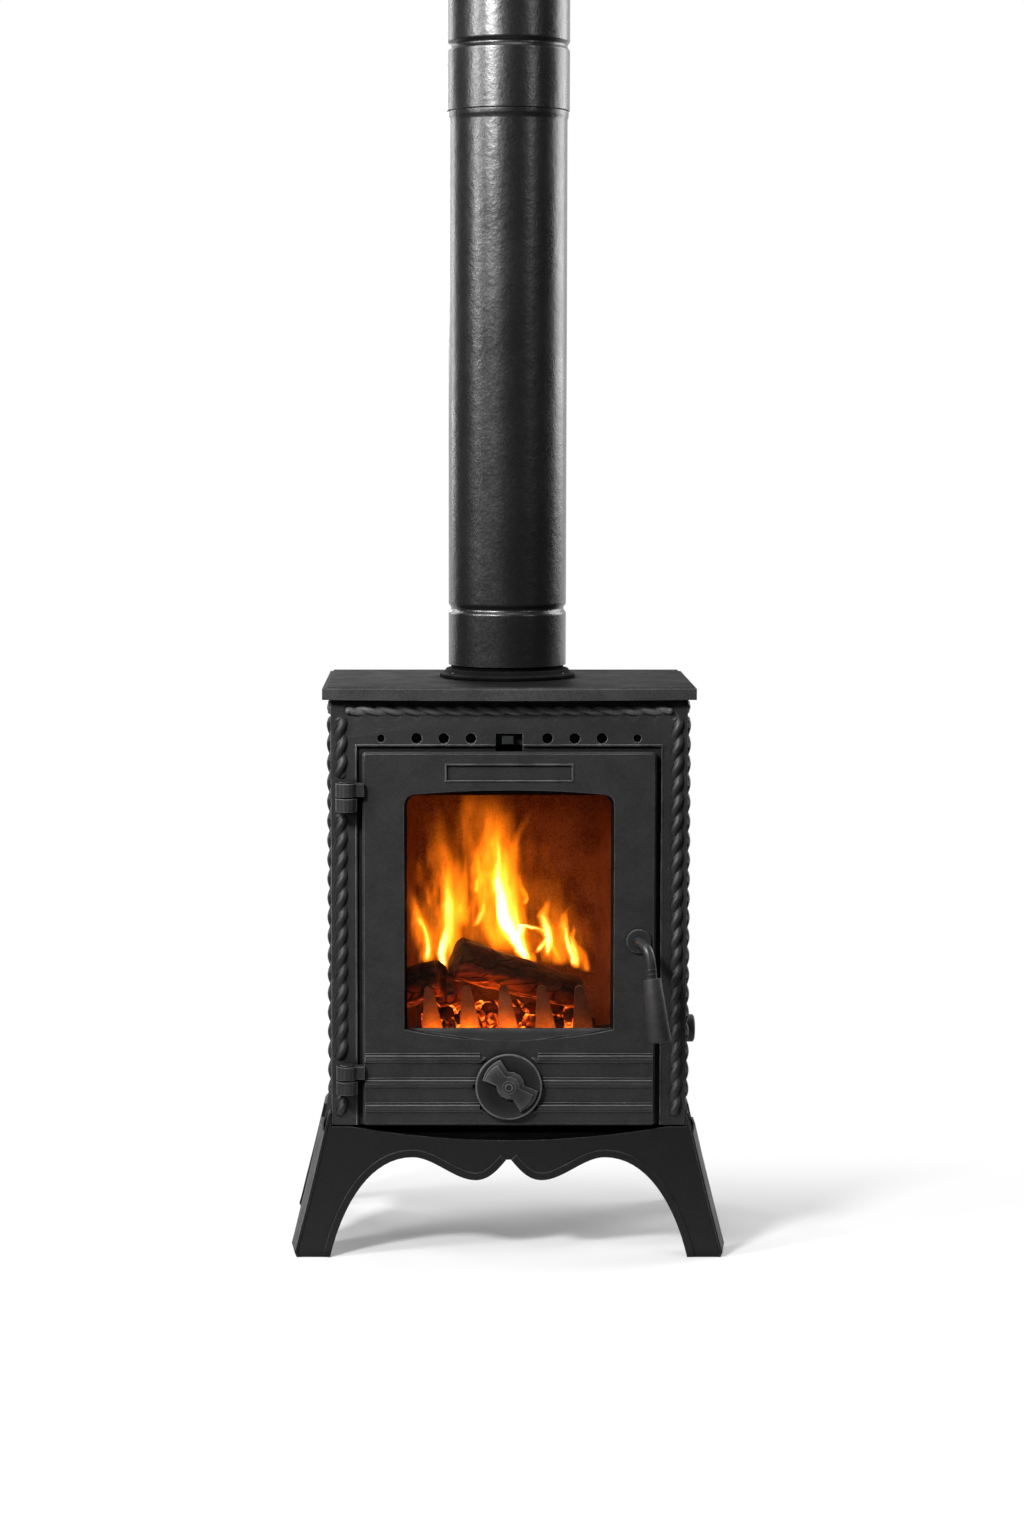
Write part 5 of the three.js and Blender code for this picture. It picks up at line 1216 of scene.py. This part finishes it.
@dataclass
class SmallParts:
    """Turned small pieces: the riddling knob and the hinge pins."""

    knob: float = 14.8
    pin: float = 3.6

    def build(self, finishes: Finishes) -> None:
        """Builds the knob and pins."""
        low, high = (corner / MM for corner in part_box("riddling_knob"))
        middle = (low + high) / 2
        long, knob = high.x - low.x, self.knob
        profile = [
            (0, 0), (6.0, 0), (6.5, 0.5), (6.5, 1.5), (knob - 1.6, 1.5), (knob - 0.3, 2.2), (knob, 3.2),
            (knob, long - 3.4), (knob - 0.5, long - 2.0), (knob * 0.82, long - 0.8), (knob * 0.5, long - 0.2),
            (0, long),
        ]
        bm = turned(profile, Vector((low.x, middle.y, middle.z)), Axis.X, 56)
        published(bm, "cast_knob", Body.RIDDLER, finishes.grip, ("riddling_knob",))
        for label in ("upper", "lower"):
            low, high = (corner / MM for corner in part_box(f"hinge_pin_{label}"))
            middle = (low + high) / 2
            pin, head, top = self.pin, (high.x - low.x) / 2, high.z - low.z
            profile = [
                (0, 0), (pin - 0.8, 0), (pin, 0.8), (pin, top - 1.7), (head - 0.4, top - 1.7), (head, top - 1.2),
                (head - 0.6, top - 0.5), (head * 0.6, top - 0.1), (0, top),
            ]
            bm = turned(profile, Vector((middle.x, middle.y, low.z)), Axis.Z, 40)
            published(bm, f"turned_pin_{label}", Body.STOVE, finishes.rod, (f"hinge_pin_{label}",))


@dataclass
class Seals:
    """The rope seal round the door and the tape behind the glass, as round and flat knitted cord."""

    kinds: tuple[tuple[str, str, float], ...] = (
        ("door_rope_seal", "knitted_door_rope", 2.9), ("glass_tape", "woven_glass_tape", 2.65),
    )
    flattening: float = 0.98
    corner: float = 7.0
    braid_pitch: float = 3.2
    braid_waist: float = 0.93
    sides: int = 12

    def build(self, finishes: Finishes) -> None:
        """Builds both seals."""
        for node, name, wide in self.kinds:
            low, high = (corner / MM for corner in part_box(node))
            bm = self.loop(low, high, wide, (high.y - low.y) / 2 * self.flattening)
            published(bm, name, Body.DOOR, finishes.rope, (node,), crease=60)

    def loop(self, low: Vector, high: Vector, wide: float, deep: float) -> BMesh:
        """Sweeps a ribbed oval section round a rounded rectangle.

        Args:
            low: The ring's lowest corner.
            high: The ring's highest corner.
            wide: Half the section's width.
            deep: Half its depth.

        Returns:
            A mesh of its own.
        """
        bm = bmesh.new()
        middle = (low + high) / 2
        half_x, half_z = (high.x - low.x) / 2 - wide - self.corner, (high.z - low.z) / 2 - wide - self.corner
        pivots = [Vector((x * half_x, 0, z * half_z)) for x, z in ((1, 1), (-1, 1), (-1, -1), (1, -1))]
        path: list[tuple[Vector, Vector]] = []
        for index, pivot in enumerate(pivots):
            for share in range(7):
                angle = math.radians(90 * index + 15 * share)
                out = Vector((math.cos(angle), 0, math.sin(angle)))
                path.append((pivot + out * self.corner, out))
            begin, end = (place + out * self.corner for place in (pivot, pivots[(index + 1) % 4]))
            count = max(1, round((end - begin).length / (self.braid_pitch / 2)))
            path += [(begin.lerp(end, i / count), out) for i in range(1, count)]
        rings = []
        for index, (point, out) in enumerate(path):
            swell = 1.0 if index % 2 else self.braid_waist
            ring = []
            for i in range(self.sides):
                angle = math.tau * i / self.sides
                offset = out * (wide * swell * math.cos(angle)) + Vector((0, deep * swell * math.sin(angle), 0))
                ring.append(bm.verts.new(middle + point + offset))
            rings.append([bm.edges.new((ring[i], ring[(i + 1) % self.sides])) for i in range(self.sides)])
        for i, ring in enumerate(rings):
            bmesh.ops.bridge_loops(bm, edges=ring + rings[(i + 1) % len(rings)])
        return bm


def dress_remaining(finishes: Finishes) -> None:
    """Gives every CAD node the finish of its slot, or its own. Those that no piece replaces stay on show."""
    slots = {row["node"]: row["material_slot"] for row in frame["record"]["subparts"]}
    # The base plate and the air slide's screws take near-black iron: painted shade under the body and in the screws'
    # holes.
    special = {"base_plate": finishes.shade_black_iron, "air_slide": finishes.rod, "air_dial_screw": finishes.rod}
    special |= {f"air_slide_screw_{side}": finishes.shade_black_iron for side in ("left", "right")}
    for name, node in frame["nodes"].items():
        node.data.materials.clear()
        finish = special.get(name) or finishes.of_slot(Slot(slots[name]))
        node.data.materials.append(finish.material)


# ---- the fire and the studio, which aren't part of the object


def at_first_sight(tree: NodeTree) -> Node:
    """Adds a factor: 1 for what the camera sees, mirrored or through glass too, and 0 after a matt bounce."""
    path = add(tree, "LightPath")
    seen = add(tree, "Math", [path.outputs["Is Camera Ray"], path.outputs["Is Glossy Ray"]], operation="MAXIMUM")
    any_seen = add(tree, "Math", [seen, path.outputs["Is Transmission Ray"]], operation="MAXIMUM")
    matt = add(tree, "Math", [path.outputs["Diffuse Depth"], 0.5], operation="LESS_THAN")
    return add(tree, "Math", [any_seen, matt], operation="MULTIPLY")


# Each tongue of flame: x, z and half-width from foot to tip, its place in y and its brightness.
TONGUES = (
    ([(14, 296, 14), (4, 330, 22), (-8, 370, 22), (-12, 410, 24), (-16, 450, 26), (-30, 478, 14)], 6, 3.2),
    ([(20, 292, 8), (8, 316, 12), (-4, 348, 12), (-10, 384, 11), (-10, 420, 9), (-6, 452, 5)], 2, 14.0),
    ([(26, 290, 9), (14, 318, 12), (2, 352, 13), (-2, 390, 12), (6, 428, 9), (27, 462, 4)], -2, 5.0),
    ([(-4, 300, 18), (-10, 340, 24), (-16, 380, 26), (-26, 420, 24), (-36, 462, 16), (-44, 488, 8)], 14, 1.6),
    ([(12, 318, 9), (18, 336, 8), (34, 330, 8), (46, 318, 7), (54, 300, 6), (58, 290, 5)], -14, 5.5),
    ([(30, 304, 4), (38, 316, 5), (44, 322, 5), (40, 334, 5), (35, 346, 4), (33, 360, 2)], -10, 6.0),
    ([(42, 300, 4), (44, 318, 6), (42, 332, 8), (38, 344, 7), (42, 356, 5), (45, 366, 2)], -6, 6.5),
    ([(70, 290, 6), (67, 302, 7), (62, 318, 7), (60, 332, 7), (60, 346, 5), (66, 358, 2)], -8, 7.5),
    ([(72, 288, 6), (72, 300, 7), (70, 310, 6), (68, 322, 5), (71, 330, 4), (70, 340, 2)], -12, 5.0),
    ([(86, 282, 8), (82, 294, 9), (78, 304, 8), (74, 312, 5), (72, 318, 3), (70, 324, 2)], 0, 1.6),
    ([(-67, 288, 6), (-70, 306, 7), (-64, 332, 7), (-61, 362, 8), (-64, 396, 8), (-74, 444, 4)], -22, 7.0),
    ([(-62, 292, 12), (-60, 320, 14), (-54, 350, 14), (-56, 382, 14), (-64, 416, 12), (-72, 450, 6)], -4, 2.2),
    ([(-86, 296, 6), (-86, 312, 7), (-88, 328, 7), (-93, 344, 7), (-98, 358, 5), (-101, 372, 2)], -24, 5.0),
    ([(-86, 302, 3), (-85, 312, 3.5), (-87, 324, 3), (-89, 336, 2.5), (-91, 344, 2), (-92, 352, 1)], -26, 8.0),
    ([(-48, 330, 8), (-50, 352, 9), (-50, 372, 9), (-47, 388, 7), (-45, 402, 5), (-43, 414, 2)], 4, 2.0),
    ([(-36, 332, 5), (-30, 340, 6), (-26, 348, 5), (-24, 356, 4), (-24, 362, 3), (-24, 370, 1)], -4, 3.4),
    ([(-34, 368, 3), (-33, 374, 4), (-32, 380, 4), (-30, 386, 3), (-29, 390, 2), (-28, 396, 1)], -6, 2.5),
    ([(18, 356, 3), (20, 362, 5), (18, 368, 5), (15, 374, 4), (13, 380, 3), (10, 386, 1)], -6, 2.6),
    ([(-26, 296, 64), (-26, 336, 76), (-26, 376, 78), (-26, 416, 70), (-32, 456, 54), (-40, 500, 34)], 44, 0.5),
    ([(50, 286, 34), (52, 310, 40), (50, 334, 38), (46, 358, 30), (44, 380, 22), (44, 404, 12)], 30, 0.6),
    ([(8, 294, 30), (0, 334, 42), (-6, 374, 46), (-10, 414, 44), (-16, 454, 36), (-26, 496, 22)], 22, 1.3),
    ([(-64, 292, 18), (-64, 324, 24), (-62, 356, 26), (-64, 388, 24), (-70, 420, 18), (-76, 456, 10)], 10, 1.3),
    ([(58, 288, 22), (58, 304, 24), (56, 320, 22), (52, 336, 18), (52, 350, 12), (54, 366, 6)], 4, 1.1),
    ([(-86, 292, 12), (-86, 312, 14), (-89, 332, 13), (-94, 350, 11), (-99, 366, 8), (-103, 384, 4)], -10, 1.4),
)


@dataclass
class Fire:
    """Logs, embers and flames inside the firebox."""

    seed: int = 7
    coals: int = 46
    flame_width: float = 1.22
    flame_steps: int = 28
    guard_lights: tuple[tuple[float, float], ...] = (  # the x and power of lamps behind the log guard's fingers
        (-79, 0.34), (-39.5, 0.45), (0, 0.42), (39.5, 0.16), (79, 0.04),
    )

    def put(self, bm: BMesh, name: str, material: Material) -> None:
        """Puts a mesh in millimetres into the scene as surroundings."""
        bmesh.ops.scale(bm, vec=(MM, MM, MM), verts=bm.verts)
        for face in bm.faces:
            face.smooth = True
        thing = linked(bm, name, material)

    def flame_material(self) -> Material:
        """Builds the flame: light that adds up where tongues overlap, white in the core and red at the rim."""
        material, tree = blank("wood flame")
        across = add(tree, "UVMap", uv_map="tongue")
        parts = add(tree, "SeparateXYZ", [across])
        place = add(tree, "TexCoord").outputs["Object"]
        stretch = add(tree, "Mapping", {"Vector": place, "Scale": (60.0, 60.0, 17.0)})
        swirl = add(tree, "TexNoise", {"Vector": stretch, "Scale": 1.0, "Detail": 3.0, "Roughness": 0.5})
        shift = add(tree, "MapRange", [swirl, 0.3, 0.7, -0.2, 0.2])
        sway = add(tree, "Math", [parts, shift], operation="ADD")
        side = add(tree, "MapRange", [sway, 0.0, 1.0, -1.0, 1.0], clamp=False)
        span = add(tree, "Math", [side], operation="ABSOLUTE")
        body = add(tree, "MapRange", [span, 1.0, 0.0, 0.0, 1.0], interpolation_type="SMOOTHSTEP")
        core = add(tree, "Math", [body, 1.9], operation="POWER")
        rise = add(tree, "MapRange", [parts.outputs[1], 1.0, 0.15, 0.0, 1.0], interpolation_type="SMOOTHSTEP")
        foot = add(tree, "MapRange", [parts.outputs[1], 0.0, 0.1, 0.0, 1.0], interpolation_type="SMOOTHSTEP")
        heat = add(tree, "Attribute", attribute_name="burn")
        first = add(tree, "Math", [core, rise], operation="MULTIPLY")
        second = add(tree, "Math", [first, foot], operation="MULTIPLY")
        streak = add(tree, "MapRange", [swirl, 0.25, 0.7, 0.35, 1.3])
        third = add(tree, "Math", [second, streak], operation="MULTIPLY")
        power = add(tree, "Math", [third, heat.outputs["Fac"]], operation="MULTIPLY")
        white = add(tree, "MapRange", [power, 1.5, 9.0, 0.0, 1.0])
        red, yellow = (1.0, 0.2, 0.006, 1.0), (1.0, 0.62, 0.2, 1.0)
        tint = add(tree, "Mix", {0: white, 6: red, 7: yellow}, data_type="RGBA")
        glow = add(tree, "Emission", {"Color": tint, "Strength": power})
        clear = add(tree, "BsdfTransparent")
        both = add(tree, "AddShader", [glow, clear])
        add(tree, "OutputMaterial", {"Surface": both})
        material.cycles.emission_sampling = "NONE"
        return material

    def tongue(self, bm: BMesh, line: Sequence[Sequence[float]], depth: float, heat: float) -> None:
        """Adds one flame tongue as a soft-edged ribbon.

        Args:
            bm: The mesh that it goes into.
            line: Points of x, z and half-width from foot to tip.
            depth: Its place in y.
            heat: Its brightness.
        """
        uv = bm.loops.layers.uv.get("tongue") or bm.loops.layers.uv.new("tongue")
        layer = bm.verts.layers.float.get("burn") or bm.verts.layers.float.new("burn")
        rows: list[tuple[BMVert, BMVert, float]] = []
        for i in range(self.flame_steps + 1):
            share = i / self.flame_steps
            spot = share * (len(line) - 1)
            k = min(len(line) - 2, int(spot))
            t = spot - k
            t = t * t * (3 - 2 * t) if 0 < k < len(line) - 2 else t
            x, z, half = (a + (b - a) * t for a, b in zip(line[k], line[k + 1]))
            y = depth + 3 * math.sin(4 * share)
            pair = [bm.verts.new((x + side * half * self.flame_width, y, z)) for side in (-1, 1)]
            for vert in pair:
                vert[layer] = heat
            rows.append((*pair, share))
        for (a, b, v0), (c, d, v1) in zip(rows, rows[1:]):
            face = bm.faces.new((a, b, d, c))
            for loop, place in zip(face.loops, ((0, v0), (1, v0), (1, v1), (0, v1))):
                loop[uv].uv = place

    def build_flames(self) -> None:
        """Builds the flame tongues: narrow bright ones in front, and wide faint ones behind for the glow."""
        bm = bmesh.new()
        for line, depth, heat in TONGUES:
            self.tongue(bm, line, depth, heat)
        self.put(bm, "flames", self.flame_material())

    def bark_material(self) -> Material:
        """Builds charred bark: brown-black plates with glowing rims low down."""
        material, tree = blank("charred log")
        place = add(tree, "TexCoord").outputs["Object"]
        along = (0.0, math.radians(-17), 0.0)  # the fibres run along the main log
        stretch = add(tree, "Mapping", {"Vector": place, "Scale": (0.35, 1.0, 1.0), "Rotation": along})
        fibres = add(tree, "TexNoise", {"Vector": stretch, "Scale": 220.0, "Detail": 5.0, "Roughness": 0.65})
        plates = add(tree, "TexVoronoi", {"Vector": stretch, "Scale": 75.0}, feature="DISTANCE_TO_EDGE")
        crack = add(tree, "MapRange", [plates, 0.0, 0.06, 0.0, 1.0])
        tone = add(tree, "MapRange", [fibres, 0.35, 0.7, 0.0, 1.0])
        wood = add(tree, "Mix", {0: tone, 6: linear("#150b06"), 7: linear("#4e2d15")}, data_type="RGBA")
        char = add(tree, "Mix", {0: crack, 6: linear("#080503"), 7: wood}, data_type="RGBA")
        mixed = add(tree, "Math", [fibres, crack], operation="ADD")
        bump = add(tree, "Bump", {"Height": mixed, "Distance": 1.6 * MM})
        shape = add(tree, "NewGeometry")
        down = add(tree, "SeparateXYZ", [shape.outputs["Normal"]])
        under = add(tree, "MapRange", [down.outputs[2], -0.7, -1.0, 0.0, 1.0])
        ember = add(tree, "MapRange", [fibres, 0.45, 0.75, 0.0, 2.6])
        glow = add(tree, "Math", [under, ember], operation="MULTIPLY")
        shader = add(tree, "BsdfPrincipled", {
            "Base Color": char, "Roughness": 0.8, "Normal": bump, "Emission Color": (1.0, 0.1, 0.01, 1.0),
            "Emission Strength": glow,
        })
        add(tree, "OutputMaterial", {"Surface": shader})
        material.cycles.emission_sampling = "NONE"
        return material

    def ember_material(self) -> Material:
        """Builds the ember bed: dark crusts over red and orange glow."""
        material, tree = blank("ember bed")
        place = add(tree, "TexCoord").outputs["Object"]
        warp = add(tree, "TexNoise", {"Vector": place, "Scale": 60.0, "Detail": 4.0, "Roughness": 0.6})
        crust = add(tree, "TexVoronoi", {"Vector": place, "Scale": 120.0}, feature="DISTANCE_TO_EDGE")
        seam = add(tree, "MapRange", [crust, 0.22, 0.0, 0.0, 1.0])
        patch = add(tree, "MapRange", [warp, 0.4, 0.68, 0.0, 1.0])
        both = add(tree, "Math", [seam, 0.35], operation="ADD")
        heat = add(tree, "Math", [both, patch], operation="MULTIPLY")
        hot = add(tree, "MapRange", [heat, 0.0, 1.0, 0.0, 3.2])
        red, orange = (1.0, 0.035, 0.004, 1.0), (1.0, 0.3, 0.03, 1.0)
        tint = add(tree, "Mix", {0: heat, 6: red, 7: orange}, data_type="RGBA")
        bump = add(tree, "Bump", {"Height": crust, "Distance": 2.0 * MM})
        shader = add(tree, "BsdfPrincipled", {
            "Base Color": linear("#120c0a"), "Roughness": 0.9, "Normal": bump, "Emission Color": tint,
            "Emission Strength": hot,
        })
        add(tree, "OutputMaterial", {"Surface": shader})
        material.cycles.emission_sampling = "NONE"
        return material

    def log(
        self, start: Vector, end: Vector, radii: tuple[float, float], name: str, material: Material
    ) -> None:
        """Builds one log with knobbly bark and a broken end.

        Args:
            start: Its left end.
            end: Its right end.
            radii: Its radius at each end.
            name: Its name.
            material: Its material.
        """
        length = (end - start).length
        steps = 40
        left, right = radii
        profile = [(0.0, 0.0), (left * 0.86, 0.4), (left, 3.0)]
        profile += [(left + (right - left) * i / steps, 3 + (length - 6) * i / steps) for i in range(1, steps)]
        profile += [(right, length - 3), (right * 0.86, length - 0.4), (0.0, length)]
        bm = turned(profile, Vector(), Axis.Z, 48)
        bmesh.ops.remove_doubles(bm, verts=bm.verts, dist=0.01)
        for vert in bm.verts:
            out = Vector((vert.co.x, vert.co.y, 0))
            if out.length > 0.1:
                big = noise.noise(Vector((vert.co.x, vert.co.y, vert.co.z * 0.5)) * 0.06)
                small = noise.noise(Vector((vert.co.x, vert.co.y, vert.co.z * 0.4)) * 0.25)
                vert.co += out.normalized() * (2.6 * big + 0.9 * small)
            vert.co.z += 2.0 * noise.noise(vert.co * 0.1)
        bmesh.ops.transform(bm, matrix=placed(start, end - start), verts=bm.verts)
        self.put(bm, name, material)

    def build(self) -> None:
        """Builds the logs, embers and flames, and the lamps that stand for the fire's light."""
        dice = random.Random(self.seed)
        bark, embers = self.bark_material(), self.ember_material()
        for name, start, end, radii in (
            ("main_log", (-56, -46, 305), (76, -14, 262), (22.5, 16.0)),
            ("left_log", (-69, -54, 286), (-140, -20, 262), (19.0, 22.0)),
            ("short_log", (-66, -58, 268), (-50, 20, 262), (12.5, 15.0)),
        ):
            self.log(Vector(start), Vector(end), radii, name, bark)
        bm = bmesh.new()
        bmesh.ops.create_grid(bm, x_segments=90, y_segments=60, size=1.0)
        for vert in bm.verts:
            x, y = vert.co.x * 92, vert.co.y * 62
            mound = 26 * (1 - 0.7 * (x / 100) ** 2) * (0.6 + 0.4 * (y + 62) / 124)
            rough = 9 * noise.noise(Vector((x, y, 0)) * 0.07) + 3.5 * noise.noise(Vector((x, y, 9)) * 0.2)
            vert.co = Vector((x, y + 4, 214 + mound + rough))
        self.put(bm, "ember_bed", embers)
        for index in range(self.coals):
            bm = bmesh.new()
            bmesh.ops.create_icosphere(bm, subdivisions=2, radius=1.0)
            size = dice.uniform(4.5, 9.5)
            x, y = dice.uniform(-86, 92), dice.uniform(-52, 30)
            seed = Vector((index * 3.1, 0, 0))
            for vert in bm.verts:
                vert.co *= size * (1 + 0.45 * noise.noise(vert.co * 1.1 + seed))
                vert.co += Vector((x, y, 236 + 0.1 * (y + 50) + dice.uniform(0, 0.01)))
            self.put(bm, f"coal_{index + 1}", embers if index % 3 == 0 else bark)
        self.build_flames()
        # Each lamp: its name, place, watts and radius.
        for name, spot, power, radius in (
            ("fire_light", (0, -8, 350), 0.42, 40),
            ("ember_light", (-10, -52, 262), 0.22, 14),
            *((f"guard_light_{i + 1}", (x, -80, 232), power, 6) for i, (x, power) in enumerate(self.guard_lights)),
        ):
            lamp = bpy.data.lights.new(name, "POINT")
            lamp.energy = power
            lamp.color = (1.0, 0.16, 0.008)
            lamp.shadow_soft_size = radius * MM
            holder = bpy.data.objects.new(name, lamp)
            holder.location = Vector(spot) * MM
            holder.visible_camera = holder.visible_glossy = holder.visible_transmission = False
            bpy.context.scene.collection.objects.link(holder)


@dataclass
class Studio:
    """The camera, pale floor, white background and soft lamps. The floor, card and lamps are in metres."""

    camera_place: tuple[float, float, float] = (-60.0, -3557.6, 867.7)
    camera_down: float = 5.88
    lens: float = 79.17
    shift_pixels: float = 61.0
    world_fill: float = 0.08
    floor_half: float = 30.0
    floor_glow: float = 0.2
    floor_bounce: str = "#707070"
    card_near: float = 0.45
    card_far: float = 5.2
    card_top: float = 0.6
    card_height: float = 6.0
    card_turn: float = 125.0
    card_steps: int = 24
    aim: float = 0.75  # the height that the lamps face

    def build(self) -> None:
        """Builds all of it."""
        scene = bpy.context.scene
        scene.view_settings.view_transform = "Standard"
        camera = bpy.data.cameras.new("camera")
        camera.lens = self.lens
        camera.sensor_width = 36.0
        camera.shift_x = self.shift_pixels / PHOTO_LONG_SIDE
        camera.clip_end = 200.0
        holder = bpy.data.objects.new("camera", camera)
        holder.location = Vector(self.camera_place) * MM
        holder.rotation_euler = (math.radians(90 - self.camera_down), 0, 0)
        scene.collection.objects.link(holder)
        scene.camera = holder
        self.world(scene)
        self.floor()
        self.flags()
        # Each lamp: its name, place, size and watts.
        for name, spot, size, power in (
            ("key_softbox", (-1.05, -1.6, 1.8), (0.36, 0.36), 50.0),
            ("left_softbox", (-2.7, -1.35, 2.1), (0.6, 1.8), 60.0),
            ("fill_softbox", (2.2, -2.2, 2.2), (0.4, 1.6), 11.0),
            ("left_strip", (-2.3, 2.3, 1.7), (0.5, 2.0), 20.0),
            ("right_softbox", (2.4, 1.4, 1.7), (1.6, 2.0), 44.0),
            ("back_softbox", (-0.6, 3.2, 1.8), (1.6, 1.6), 44.0),
            ("top_softbox", (0.0, -0.3, 3.8), (1.8, 1.8), 26.0),
        ):
            self.lamp(name, Vector(spot), size, power)

    def lamp(self, name: str, spot: Vector, size: tuple[float, float], power: float) -> None:
        """Adds one soft lamp that faces the stove."""
        lamp = bpy.data.lights.new(name, "AREA")
        lamp.shape = "RECTANGLE"
        lamp.size, lamp.size_y = size
        lamp.energy = power
        holder = bpy.data.objects.new(name, lamp)
        holder.location = spot
        holder.rotation_euler = (Vector((0, 0, self.aim)) - spot).to_track_quat("-Z", "Y").to_euler()
        bpy.context.scene.collection.objects.link(holder)

    def world(self, scene: Scene) -> None:
        """Makes the world white to the camera, to gloss and through glass, and a soft fill for the rest."""
        world = bpy.data.worlds.new("studio")
        scene.world = world
        world.use_nodes = True
        tree = world.node_tree
        tree.nodes.clear()
        level = add(tree, "MapRange", [at_first_sight(tree), 0.0, 1.0, self.world_fill, 1.0])
        light = add(tree, "Background", {"Color": (1.0, 1.0, 1.0, 1.0), "Strength": level})
        add(tree, "OutputWorld", {"Surface": light})

    def floor(self) -> None:
        """Adds the pale floor, which glows a little to the camera and keeps the stove's shadow."""
        material, tree = blank("pale studio floor")
        place = add(tree, "TexCoord").outputs["Object"]
        clear = at_first_sight(tree)
        dust = add(tree, "TexNoise", {"Vector": place, "Scale": 3.0, "Detail": 2.0})
        tone = add(tree, "Mix", {0: dust, 6: linear("#f2f2f2"), 7: linear("#f6f6f6")}, data_type="RGBA")
        dim = add(tree, "Mix", {0: clear, 6: linear(self.floor_bounce), 7: tone}, data_type="RGBA")
        paint = add(tree, "BsdfDiffuse", {"Color": dim})
        glow = add(tree, "Emission", {"Color": (1.0, 1.0, 1.0, 1.0), "Strength": 1.0})
        # The glow grows away from the stove, and behind it sooner.
        away = add(tree, "VectorMath", [place], operation="LENGTH").outputs["Value"]
        behind = add(tree, "SeparateXYZ", [place]).outputs["Y"]
        far, beyond = (
            add(tree, "MapRange", [reach, near, end, self.floor_glow, 1.0], interpolation_type="SMOOTHSTEP")
            for reach, near, end in ((away, 0.45, 1.3), (behind, 0.06, 0.4))
        )
        most = add(tree, "Math", [far, beyond], operation="MAXIMUM")
        share = add(tree, "Math", [clear, most], operation="MULTIPLY")
        mixed = add(tree, "MixShader", [share, paint, glow])
        add(tree, "OutputMaterial", {"Surface": mixed})
        bm = bmesh.new()
        bmesh.ops.create_grid(bm, x_segments=1, y_segments=1, size=self.floor_half)
        floor = linked(bm, "floor", material)

    def flags(self) -> None:
        """Adds dark card round the camera's side, which only reflections see, as in a dim studio."""
        material, tree = blank("dark studio card")
        paint = add(tree, "BsdfDiffuse", {"Color": linear("#1a1a1a")})
        # A ray straight through glass passes; one that a pane's inner face threw back sees the card.
        path = add(tree, "LightPath")
        straight = add(tree, "Math", [path.outputs["Glossy Depth"], 0.5], operation="LESS_THAN")
        through = add(tree, "Math", [straight, path.outputs["Is Transmission Ray"]], operation="MULTIPLY")
        clear = add(tree, "BsdfTransparent")
        both = add(tree, "MixShader", [through, paint, clear])
        add(tree, "OutputMaterial", {"Surface": both})
        bm = bmesh.new()
        near, far, up = self.card_near, self.card_far, self.card_height
        section = ((near, 0.004), (far, 0.0), (far, up), (self.card_top, up))
        rows = []
        for i in range(self.card_steps + 1):
            angle = math.radians(self.card_turn * (2 * i / self.card_steps - 1))
            way = Vector((math.sin(angle), -math.cos(angle), 0))
            rows.append([bm.verts.new(way * reach + Vector((0, 0, height))) for reach, height in section])
        for a, b in zip(rows, rows[1:]):
            for k in range(3):
                bm.faces.new((a[k], b[k], b[k + 1], a[k + 1]))
        card = linked(bm, "dark_card", material)
        card.visible_camera = card.visible_diffuse = card.visible_shadow = False


def main() -> None:
    """Builds the object's looks in order."""
    logging.basicConfig(level=logging.INFO, format="%(name)s: %(message)s")
    Studio().build()
    finishes = Finishes()
    dress_remaining(finishes)
    castings = (BodyCastings, DoorRibs, LegCastings, RopeMoulding)
    for assembly in (*castings, FluePipes, AirDial, DoorHandle, SmallParts, Seals):
        assembly().build(finishes)
    Fire().build()


if __name__ == "__main__":
    main()
